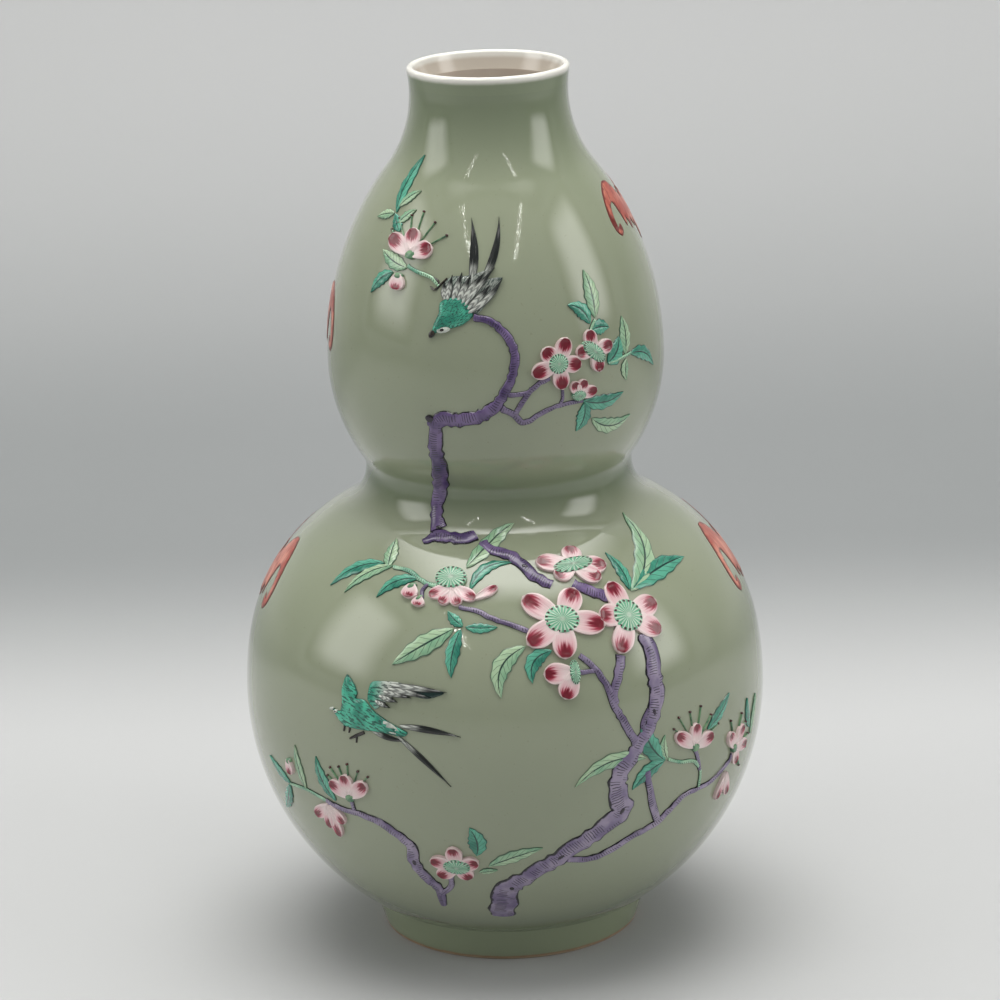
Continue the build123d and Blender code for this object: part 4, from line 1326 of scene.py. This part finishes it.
# Flowers: heart, petal width, tips
PETALS = {
    "upper_petals": [
        ((20.6, 0.7035), 6.2, [(15.6, 0.721), (24.3, 0.7305), (28.9, 0.6995), (21.8, 0.6745), (11.4, 0.694)]),
        ((34, 0.7105), 5.4, [(32.6, 0.735), (42, 0.7155), (36.2, 0.6875), (27.2, 0.713)]),
        ((27.6, 0.6655), 4.4, [(25.6, 0.6815), (30, 0.6825), (34.6, 0.6695)]),
        ((-34, 0.8185), 6.6, [(-46.5, 0.833), (-35, 0.844), (-24.6, 0.8265)]),
    ],
    "lower_petals": [
        ((21.2, 0.4815), 7.4, [(22.8, 0.4965), (31.4, 0.4775), (27.8, 0.4665), (15, 0.4735), (10.2, 0.488)]),
        ((14.2, 0.4365), 8.8, [(5, 0.4595), (19.2, 0.463), (24.8, 0.4265), (13.7, 0.3985), (5.2, 0.416)]),
        ((31.1, 0.4305), 8.4, [(29.4, 0.4635), (40.6, 0.438), (38.9, 0.4085), (26.4, 0.3965), (23.6, 0.436)]),
        ((15.2, 0.385), 7.6, [(8.4, 0.386), (12.6, 0.3585)]),
        ((-13.5, 0.468), 5.0, [(-19.8, 0.4595), (-16.2, 0.4525), (-11.4, 0.452), (-6.9, 0.458)]),
        ((-7.2, 0.459), 3.6, [(-1.2, 0.469)]),
        ((-12.5, 0.163), 6.2, [(-13, 0.189), (-7.2, 0.17), (-9.5, 0.1455), (-17.5, 0.1465), (-18.8, 0.1695)]),
        ((-36.2, 0.2375), 6.0, [(-41.6, 0.2495), (-37.2, 0.263), (-31.4, 0.257)]),
        ((-43, 0.2175), 5.2, [(-48.8, 0.1985), (-45, 0.187), (-42.2, 0.178), (-39.2, 0.1995)]),
        ((43.9, 0.2765), 5.6, [(38.2, 0.297), (44.3, 0.3025), (49.9, 0.2815)]),
        ((59, 0.2505), 5.0, [(56.2, 0.272), (62.8, 0.2725), (65.2, 0.2465), (60.6, 0.229)]),
        ((56.6, 0.2235), 4.2, [(54.6, 0.1935), (59.4, 0.1925)]),
    ],
}
BUDS = {
    "upper_buds": [(-37.5, 0.788, 3.4, 3.1, 0)],
    "lower_buds": [(-25.2, 0.4615, 3.4, 2.9, 30), (-22.1, 0.4535, 2.6, 2.0, 40), (-55, 0.2485, 2.4, 3.2, 0)],
}
# Hearts of the flowers seen from their side
SIDE_VIEWS = ((-34, 0.8185), (-36.2, 0.2375), (43.9, 0.2765), (59, 0.2505))
# Leaves: stalk, tip, width, bend
LEAVES = {
    "upper_dark_leaves": [
        ((-48, 0.8555), (-44.5, 0.914), 4.8, 2.6), ((-42.5, 0.838), (-48.5, 0.8545), 4.2, 0),
        ((-40.5, 0.7975), (-49.6, 0.7725), 4.6, -1.6), ((33.8, 0.74), (26, 0.7635), 5.2, -2.2),
        ((34.4, 0.7335), (41.8, 0.732), 5.4, 0.8), ((39.6, 0.695), (45.6, 0.72), 7.6, -1.8),
        ((51, 0.6975), (65.6, 0.6735), 5.0, 2.6), ((29.4, 0.6585), (46.8, 0.658), 5.4, -2.2),
        ((29.8, 0.6555), (27.4, 0.624), 5.6, 1.6),
    ],
    "upper_pale_leaves": [
        ((-47.6, 0.8615), (-37.8, 0.8795), 3.6, 1.0), ((-49.2, 0.8545), (-60, 0.847), 3.6, -0.4),
        ((-44.6, 0.8455), (-37, 0.8615), 3.4, 0.6), ((-34.5, 0.804), (-48.5, 0.818), 5.4, 0.8),
        ((36.3, 0.7455), (35.2, 0.7965), 5.8, -0.9), ((48.2, 0.699), (48.5, 0.7405), 5.6, -0.8),
        ((48.5, 0.6935), (48.2, 0.67), 3.8, -0.8), ((33.4, 0.6355), (52, 0.628), 5.8, -3.6),
    ],
    "lower_dark_leaves": [
        ((-37, 0.4815), (-51, 0.4525), 5.2, -3.8), ((-24.2, 0.473), (-34.4, 0.4525), 4.8, -3.2),
        ((-10.2, 0.4315), (-11.8, 0.384), 5.0, -1.4), ((-9.2, 0.4335), (-1.4, 0.4335), 3.6, -0.4),
        ((-9.8, 0.434), (-14, 0.4475), 3.8, 0.4), ((-8.8, 0.4665), (3.2, 0.4885), 4.2, 4.6),
        ((10.9, 0.4085), (6, 0.3775), 5.6, -4.0), ((34.7, 0.453), (33.4, 0.487), 4.6, -1.6),
        ((35.3, 0.4525), (59.8, 0.463), 8.0, 2.6), ((35.5, 0.2705), (30, 0.3205), 7.0, 2.2),
        ((35.3, 0.27), (27.4, 0.2445), 5.6, -1.6), ((48.2, 0.289), (56.9, 0.318), 4.6, -0.8),
        ((67, 0.2605), (65.4, 0.298), 4.0, 0.8), ((-7.6, 0.178), (-8.7, 0.2145), 6.4, -1.6),
        ((-40.8, 0.226), (-45.2, 0.2745), 5.2, 1.8), ((-56.5, 0.2255), (-64.6, 0.247), 4.6, 1.0),
        ((-57, 0.224), (-64.5, 0.182), 4.8, 1.2),
    ],
    "lower_pale_leaves": [
        ((-33.6, 0.481), (-45, 0.4505), 4.6, -3.2), ((-35, 0.479), (-38.5, 0.501), 5.2, 0),
        ((-12, 0.4315), (-25.8, 0.3925), 7.2, -0.8), ((-10.6, 0.4845), (5.4, 0.52), 6.6, 1.8),
        ((4.9, 0.4145), (-0.9, 0.3635), 6.6, -5.2), ((34.9, 0.4515), (53.6, 0.5105), 8.0, -3.2),
        ((30.7, 0.2785), (14.2, 0.259), 5.2, -5.0), ((36.2, 0.2705), (35.6, 0.2995), 3.4, 1.4),
        ((68, 0.2515), (71, 0.294), 4.0, -0.6), ((-5, 0.1635), (7.4, 0.186), 5.2, 0.6),
        ((-7.4, 0.1545), (-3, 0.1575), 2.8, 0), ((-50.2, 0.2285), (-52.2, 0.2785), 4.2, 0.8),
    ],
}
# Branches and twigs: azimuth, share, width
BOUGHS = {
    "upper_branch": [
        [
            (-7.2, 0.7575, 3.0), (-3.2, 0.7545, 3.0), (0, 0.75, 3.2), (3.1, 0.7395, 3.4), (5.3, 0.729, 3.6),
            (6.2, 0.716, 3.6), (5.8, 0.7025, 3.6), (4.6, 0.69, 3.6), (2.8, 0.678, 3.8), (0.6, 0.666, 4.4),
            (-1.8, 0.6575, 5.2), (-5.4, 0.6505, 5.4), (-9.4, 0.6465, 5.6), (-13.4, 0.645, 6.0),
            (-17.6, 0.6455, 6.2), (-21.4, 0.6405, 6.6), (-23.6, 0.6435, 3.4),
        ],
        [
            (-20.6, 0.6435, 5.6), (-22.2, 0.6225, 6.0), (-22.6, 0.6065, 6.2), (-22.8, 0.59, 6.6),
            (-23.9, 0.57, 7.0), (-26, 0.5525, 6.4), (-26.9, 0.5375, 5.4), (-26.4, 0.5225, 5.4),
            (-24.2, 0.5135, 7.0),
        ],
        [(-28, 0.5015, 2.6), (-24, 0.507, 6.8), (-18.6, 0.5075, 5.4), (-13, 0.507, 6.2), (-9.4, 0.5105, 5.0)],
    ],
    "crossing_branch": [
        [(-6.4, 0.5045, 4.2), (-3.4, 0.4985, 4.8), (2.6, 0.4945, 5.4), (6.4, 0.4855, 5.0), (9.3, 0.4765, 5.0), (13.5, 0.468, 4.2)],
        [(19.5, 0.467, 4.4), (22.4, 0.4605, 4.8), (25.4, 0.4555, 4.8), (29.5, 0.447, 4.4)],
    ],
    "main_branch": [
        [
            (34.2, 0.411, 6.6), (34.6, 0.39, 6.8), (34.4, 0.3665, 7.2), (34.3, 0.3505, 7.4), (33.4, 0.3305, 6.6),
            (31.6, 0.3125, 5.6), (29.4, 0.2985, 5.4), (27.4, 0.2855, 6.4), (25, 0.272, 7.6), (23.8, 0.2545, 8.0),
            (24.5, 0.2365, 8.4), (25.4, 0.222, 9.4), (22.6, 0.2075, 8.4), (18.9, 0.195, 8.0), (15, 0.1825, 8.0),
            (11.2, 0.169, 8.0), (7.7, 0.158, 7.8), (3.9, 0.1445, 7.8), (0, 0.1325, 9.6), (-1.8, 0.1125, 11.6),
            (-2.8, 0.0835, 9.6),
        ],
    ],
    "side_branch": [
        [
            (57.8, 0.2365, 2.0), (51.2, 0.2225, 2.2), (46.3, 0.2205, 2.2), (42, 0.2185, 2.6), (39.4, 0.2095, 3.0),
            (36.3, 0.1975, 3.4), (33.7, 0.1905, 3.2), (28.5, 0.1825, 3.0), (23.6, 0.1695, 3.4), (19, 0.1635, 3.2),
            (13.4, 0.1665, 3.0),
        ],
        [(30.9, 0.263, 3.0), (32.9, 0.2215, 3.6), (35.2, 0.1985, 3.4)],
    ],
    "left_branch": [
        [
            (-43.8, 0.222, 2.2), (-38.7, 0.2165, 2.4), (-35, 0.2165, 2.8), (-30, 0.2105, 3.6), (-26.3, 0.2, 4.0),
            (-23, 0.1845, 4.8), (-23.1, 0.165, 5.4), (-22.2, 0.149, 5.2), (-20.4, 0.136, 5.2),
            (-18.8, 0.1245, 4.6), (-19.2, 0.098, 2.8),
        ],
        [(-14.4, 0.1475, 2.4), (-15.4, 0.13, 2.6), (-18.6, 0.1165, 2.8)],
    ],
}
TWIGS = {
    "upper_twigs": [
        [(-34.2, 0.806, 1.6), (-30, 0.801, 1.6), (-24, 0.797, 1.6), (-20.4, 0.7885, 1.4)],
        [
            (1.4, 0.6585, 3.0), (5, 0.651, 2.6), (8.7, 0.641, 2.6), (13.8, 0.6485, 2.2), (18.3, 0.655, 2.0),
            (23.5, 0.6575, 1.8), (29.4, 0.6585, 1.6),
        ],
        [(3.4, 0.6735, 2.2), (9.8, 0.674, 2.0), (13.8, 0.6835, 2.2), (17.6, 0.688, 2.0)],
        [(5.6, 0.65, 2.2), (7.4, 0.6595, 2.2), (11.4, 0.679, 2.0)],
        [(20.4, 0.6555, 1.6), (22, 0.664, 1.4), (21.8, 0.676, 1.2)],
        [(36.2, 0.7435, 1.2), (34.5, 0.737, 1.4), (33.4, 0.731, 1.2)],
        [(40, 0.694, 1.4), (44.5, 0.695, 1.4), (51, 0.6985, 1.4)],
    ],
    "lower_twigs": [
        [(-33.4, 0.48, 1.8), (-27.8, 0.4785, 2.0), (-23.3, 0.4725, 2.0), (-19.6, 0.469, 2.2), (-16, 0.469, 2.2)],
        [(-20.8, 0.4695, 1.8), (-22, 0.464, 1.8), (-21.3, 0.457, 1.4)],
        [(-11.2, 0.4515, 1.8), (-6.5, 0.448, 2.2), (-3.2, 0.4425, 2.2), (1.3, 0.436, 2.2), (5.8, 0.429, 2.2)],
        [
            (28.2, 0.2985, 3.8), (26.6, 0.3155, 3.4), (25, 0.3305, 3.2), (23.8, 0.344, 3.2), (22.2, 0.369, 2.8),
            (19.6, 0.39, 2.6), (17, 0.401, 2.2),
        ],
        [(24, 0.3455, 3.0), (24, 0.358, 3.4), (25.4, 0.3755, 4.0), (27, 0.3945, 4.4)],
        [(30.4, 0.304, 2.6), (30.2, 0.318, 2.4), (31.8, 0.333, 2.2)],
        [(16.4, 0.3845, 2.2), (20, 0.3835, 2.0)],
        [(36.4, 0.2705, 1.6), (40, 0.262, 1.6), (43.8, 0.258, 1.8), (46.3, 0.2435, 1.6), (46.6, 0.223, 1.4)],
        [(43.9, 0.275, 2.4), (45, 0.262, 2.0), (46.2, 0.2445, 1.8)],
        [(57.8, 0.2365, 1.8), (58.6, 0.243, 1.8)],
        [(-43.8, 0.222, 1.8), (-50, 0.2275, 1.6), (-56.6, 0.225, 1.4)],
        [(-36.2, 0.234, 2.2), (-36, 0.2185, 1.8)],
    ],
}
# Knots: place, half width, half height, turn
KNOTS = {
    "upper_branch": [((-23.0, 0.6455), 1.7, 1.3, -20), ((-24.2, 0.514), 1.2, 0.8, 0)],
    "crossing_branch": [((6.8, 0.4845), 1.2, 0.7, -25)],
    "main_branch": [
        ((25.2, 0.2215), 1.4, 0.8, 60), ((11.6, 0.172), 1.8, 0.8, 40), ((33.0, 0.329), 0.7, 1.4, 10),
        ((0.2, 0.131), 1.0, 1.2, 20),
    ],
    "left_branch": [((-22.9, 0.163), 0.8, 1.4, 0)],
}
GREEN_TWIGS = (
    ("upper_twigs", 0), ("upper_twigs", 5), ("upper_twigs", 6), ("lower_twigs", 0), ("lower_twigs", 7),
    ("lower_twigs", 10),
)
BATS = {
    "upper_bats": [(90, 0.836, 0.76), (-102, 0.714, 0.9)],
    "lower_bats": [(98, 0.425, 1.0), (-98, 0.42, 1.0)],
}
# Half of a bat's edge, as shares of half its span and height
BAT_EDGE_SHARES = (
    (0, 0.5), (0.05, 0.62), (0.12, 0.36), (0.24, 0.62), (0.42, 0.95), (0.62, 1), (0.82, 0.78),
    (0.95, 0.4), (1, 0), (0.96, -0.34), (0.86, -0.5), (0.77, -0.36), (0.79, -0.16), (0.88, -0.26),
    (0.87, 0.08), (0.79, 0.36), (0.68, 0.42), (0.62, 0.06), (0.56, -0.34), (0.47, -0.12),
    (0.38, -0.5), (0.28, -0.22), (0.19, -0.52), (0.1, -0.34), (0.05, -0.72), (0, -1),
)
PERCHED_BIRD = Bird(
    name="perched_bird",
    body=[
        (-21.9, 0.7385), (-21.1, 0.75), (-19.6, 0.761), (-19.4, 0.7715), (-16.6, 0.7765), (-12, 0.7785),
        (-8.2, 0.769), (-7.6, 0.758), (-11.7, 0.7485), (-16.8, 0.744), (-20, 0.7405),
    ],
    wing=[
        (-19.1, 0.779), (-19, 0.789), (-16, 0.7985), (-9.6, 0.8), (0.3, 0.8075), (-3.4, 0.797), (3.2, 0.7975),
        (0.3, 0.783), (-4.6, 0.7645), (-7.2, 0.759), (-7.8, 0.7705), (-11.8, 0.7805), (-16.4, 0.7785),
    ],
    wing_feathers=[
        ((-17.6, 0.775), (-18.2, 0.7935), 2.4, 0.3), ((-16.6, 0.775), (-15.4, 0.8), 2.6, 0.2),
        ((-14.6, 0.775), (-11.8, 0.803), 2.8, 0), ((-13, 0.773), (-8.4, 0.8005), 2.8, 0),
        ((-11.6, 0.771), (-3.2, 0.8035), 2.8, 0.4), ((-10.4, 0.769), (0.6, 0.808), 2.2, 0.5),
        ((-9.4, 0.766), (-1.4, 0.7905), 2.8, -0.3), ((-9, 0.762), (3.4, 0.798), 2.6, -1.2),
    ],
    tail=[((-8.4, 0.79), (-9.3, 0.8575), 3.4, -1.3), ((-5, 0.79), (3.1, 0.8585), 3.0, -1.6)],
    feet=[
        [(-17.4, 0.797, 0.7), (-19.8, 0.79, 0.8), (-21.8, 0.7845, 0.9), (-23.6, 0.7875, 0.5)],
        [(-20.6, 0.789, 0.7), (-20.8, 0.7935, 0.8), (-22.6, 0.7965, 0.5)],
    ],
    marks=[
        ((-17.6, 0.7435), 2.6, 1.1, 12, 2, 1.0), ((-18.0, 0.7435), 0.9, 0.6, 12, 1, 1.15),
        ((-21.7, 0.7385), 1.0, 1.6, -30, 1, 1.0),
    ],
    headings=(35.0, 55.0),
)
FLYING_BIRD = Bird(
    name="flying_bird",
    body=[
        (-36.9, 0.375), (-37.8, 0.358), (-37.5, 0.3465), (-37.8, 0.3345), (-39.9, 0.335), (-38.5, 0.3265),
        (-36.6, 0.3195), (-33.2, 0.3185), (-27.5, 0.3195), (-22.3, 0.3175), (-21.3, 0.323),
        (-25.3, 0.3315), (-29.2, 0.3415), (-31.7, 0.352), (-33.9, 0.352), (-33.6, 0.3575), (-34.6, 0.366),
    ],
    wing=[
        (-31, 0.353), (-30.6, 0.37), (-29, 0.374), (-23.8, 0.3755), (-20.9, 0.3725), (-13.2, 0.3685),
        (-17, 0.361), (-22, 0.3635), (-25, 0.359), (-27.5, 0.349), (-28.9, 0.3435),
    ],
    wing_feathers=[
        ((-25.4, 0.372), (-12.6, 0.369), 2.4, 0.2), ((-26, 0.368), (-16.2, 0.3625), 2.4, 0.2),
        ((-27, 0.364), (-20.6, 0.3605), 2.2, 0.1), ((-28, 0.359), (-23.6, 0.3545), 2.2, 0),
        ((-28.8, 0.353), (-25.4, 0.3475), 2.0, 0),
    ],
    tail=[
        ((-23, 0.329), (-9.6, 0.3215), 2.6, 0.7), ((-23.5, 0.3175), (-12, 0.2645), 2.2, 0.6),
        ((-29.4, 0.3195), (-21.6, 0.3125), 2.2, -0.6),
    ],
    feet=[
        [(-36.6, 0.3195, 1.0), (-36.8, 0.313, 0.6)], [(-35.2, 0.319, 1.0), (-35.4, 0.3125, 0.6)],
        [(-31.5, 0.316, 1.4), (-33.6, 0.3105, 1.4), (-35.2, 0.306, 0.7)],
        [(-33.4, 0.3105, 0.9), (-33.5, 0.303, 0.6)],
    ],
    marks=[
        ((-40.2, 0.3352), 1.1, 0.5, 12, 2, 0.5), ((-38.9, 0.3335), 0.8, 0.6, 10, 2, 1.1),
        ((-38.9, 0.3335), 0.4, 0.35, 0, 1, 1.3), ((-25.4, 0.3265), 4.6, 1.7, -22, 2, 0.95),
    ],
    headings=(-20.0, -2.0),
)


@dataclass
class Studio:
    """Camera, floor, backdrop and soft lamps."""

    distance: float = 1.5
    eye_level: float = 0.621
    look_down: float = 16.56
    roll: float = 1.61
    lens: float = 142.1
    sensor: float = 36.0

    def camera(self) -> None:
        """Stands where the vase was looked at from."""
        data = bpy.data.cameras.new("view")
        data.lens = self.lens
        data.sensor_width = self.sensor
        data.clip_end = 20.0
        thing = bpy.data.objects.new("view", data)
        turn = Matrix.Rotation(math.radians(90 - self.look_down), 4, "X")
        roll = Matrix.Rotation(math.radians(-self.roll), 4, "Z")
        thing.matrix_world = Matrix.Translation((0, -self.distance, self.eye_level)) @ turn @ roll
        bpy.context.scene.collection.objects.link(thing)
        bpy.context.scene.camera = thing

    def sweep(self) -> None:
        """Pale floor that runs up into the backdrop without a corner."""
        part = bmesh.new()
        bmesh.ops.create_grid(part, x_segments=8, y_segments=60, size=1.0)
        bend_start, bend = 0.55, 0.5
        for vert in part.verts:
            x, run = vert.co.x * 4.0, (vert.co.y + 1) / 2 * 6.0 - 2.5
            over = run - bend_start
            quarter = bend * math.pi / 2
            if over <= 0:
                vert.co = Vector((x, run, 0))
            elif over < quarter:
                angle = over / bend
                vert.co = Vector((x, bend_start + bend * math.sin(angle), bend * (1 - math.cos(angle))))
            else:
                vert.co = Vector((x, bend_start + bend, bend + over - quarter))
        for face in part.faces:
            face.smooth = True
        data = bpy.data.meshes.new("sweep")
        part.to_mesh(data)
        part.free()
        sheet = NodeSheet("sweep_paper")
        depth = sheet.node("ShaderNodeSeparateXYZ", inputs={0: sheet.place()}, output=1)
        # Painted light falloff: the paper darkens from the front of the floor towards the bend, then lightens again
        # round the bend and up the backdrop.
        near, far = tone(188, 189, 190), tone(134, 137, 138)
        paper = sheet.mix(depth.rises(0.2, 0.52), near, far)
        paper = sheet.mix(depth.rises(0.66, 1.0), paper, tone(178, 179, 180))
        paper = sheet.mix(sheet.noise(3.0, 3.0) * 0.15, paper, tone(170, 172, 172))
        sheet.dress(paper, 0.7, 0.0, sheet.noise(700.0), 0.01 * MM)
        data.materials.append(sheet.material)
        thing = bpy.data.objects.new("sweep", data)
        bpy.context.scene.collection.objects.link(thing)

    def glow(self, name: str, way: Vector, spot: Vector, size: Place, strength: float, beads: float = 0.0) -> None:
        """One glowing sheet, bright in its middle and soft at its edges.

        Args:
            name: The sheet's name.
            way: Direction in which it faces.
            spot: Its middle.
            size: Width and height.
            strength: Brightness in the middle.
            beads: Beads for each metre, where it is a row of small bulbs.
        """
        part = bmesh.new()
        layer = part.loops.layers.uv.new("sprig")
        bmesh.ops.create_grid(part, x_segments=2, y_segments=2, size=1.0)
        turn = way.to_track_quat("Z", "Y").to_matrix()
        for face in part.faces:
            for loop in face.loops:
                loop[layer].uv = ((loop.vert.co.x + 1) / 2, (loop.vert.co.y + 1) / 2)
        for vert in part.verts:
            vert.co = spot + turn @ Vector((vert.co.x * size[0] / 2, vert.co.y * size[1] / 2, 0))
        data = bpy.data.meshes.new(name)
        part.to_mesh(data)
        part.free()
        sheet = NodeSheet(name)
        along, across = sheet.along_across()
        fade = (along * 2 - 1).size().rises(1.0, 0.25) * across.size().rises(1.0, 0.5)
        if beads:
            cells = sheet.node("ShaderNodeTexVoronoi", inputs={"Vector": sheet.place(), "Scale": beads})
            fade = (along * 2 - 1).size().rises(1.0, 0.8) * cells.rises(0.3, 0.18)
        sheet.feed(sheet.shader.inputs["Base Color"], tone(0, 0, 0))
        sheet.feed(sheet.shader.inputs["Emission Color"], sheet.mix(fade, tone(0, 0, 0), tone(254, 253, 250)))
        sheet.shader.inputs["Emission Strength"].default_value = strength
        data.materials.append(sheet.material)
        thing = bpy.data.objects.new(name, data)
        thing.visible_camera = False
        bpy.context.scene.collection.objects.link(thing)

    def lights(self) -> None:
        """Two rows of bulbs overhead in front, a soft window on each side, a ceiling and the room."""
        for name, x in (("left_row", -0.8), ("right_row", 0.8)):
            self.glow(name, Vector((0, 0, -1)), Vector((x, -1.3, 1.95)), (0.15, 2.3), 75.0, beads=26.0)
        self.glow("left_window", Vector((1, 0.1, -0.3)), Vector((-1.7, -0.4, 1.0)), (1.5, 1.6), 2.6)
        self.glow("right_window", Vector((-1, 0.3, -0.3)), Vector((1.65, -0.5, 0.95)), (1.3, 1.6), 3.0)
        self.glow("ceiling", Vector((0, 0, -1)), Vector((0, 0.3, 1.9)), (2.6, 2.6), 5.2)
        world = bpy.data.worlds.new("room")
        world.use_nodes = True
        background = world.node_tree.nodes["Background"]
        background.inputs["Color"].default_value = tone(236, 238, 240)
        background.inputs["Strength"].default_value = 0.29
        bpy.context.scene.world = world

    def build(self) -> None:
        """Sets up everything but the vase."""
        self.camera()
        self.sweep()
        self.lights()
        bpy.context.scene.view_settings.view_transform = "Standard"


def main() -> None:
    """Builds the studio and the vase's pieces in order."""
    logging.basicConfig(level=logging.INFO, format="%(name)s: %(message)s")
    Studio().build()
    ThrownBody().build()
    Branches(BOUGHS, TWIGS, GREEN_TWIGS, KNOTS).build()
    Leaves(LEAVES).build()
    Blossoms(STAMENS, PETALS, BUDS, SIDE_VIEWS).build()
    plumage = PlumageEnamel().material()
    quills = [FeatherEnamel().material(), FeatherEnamel(name="streamer_enamel", closing=0.24).material()]
    down = tone(196, 200, 190), tone(140, 156, 144)
    wings = [
        PlumageEnamel("perched_wing_enamel", *down, far=tone(150, 156, 148), turn=(-0.2, 0.4)).material(),
        PlumageEnamel("flying_wing_enamel", far=tone(200, 206, 196), turn=(-0.5, -0.15)).material(),
    ]
    touches = [
        PlainEnamel("claw_enamel", tone(28, 24, 22), tone(60, 48, 40)).material(),
        PlainEnamel("down_enamel", tone(214, 218, 208), tone(150, 160, 150)).material(),
    ]
    for bird, wing in zip((PERCHED_BIRD, FLYING_BIRD), wings):
        bird.build(plumage, wing, quills, touches)
    Bats(BATS, BAT_EDGE_SHARES).build()


if __name__ == "__main__":
    main()
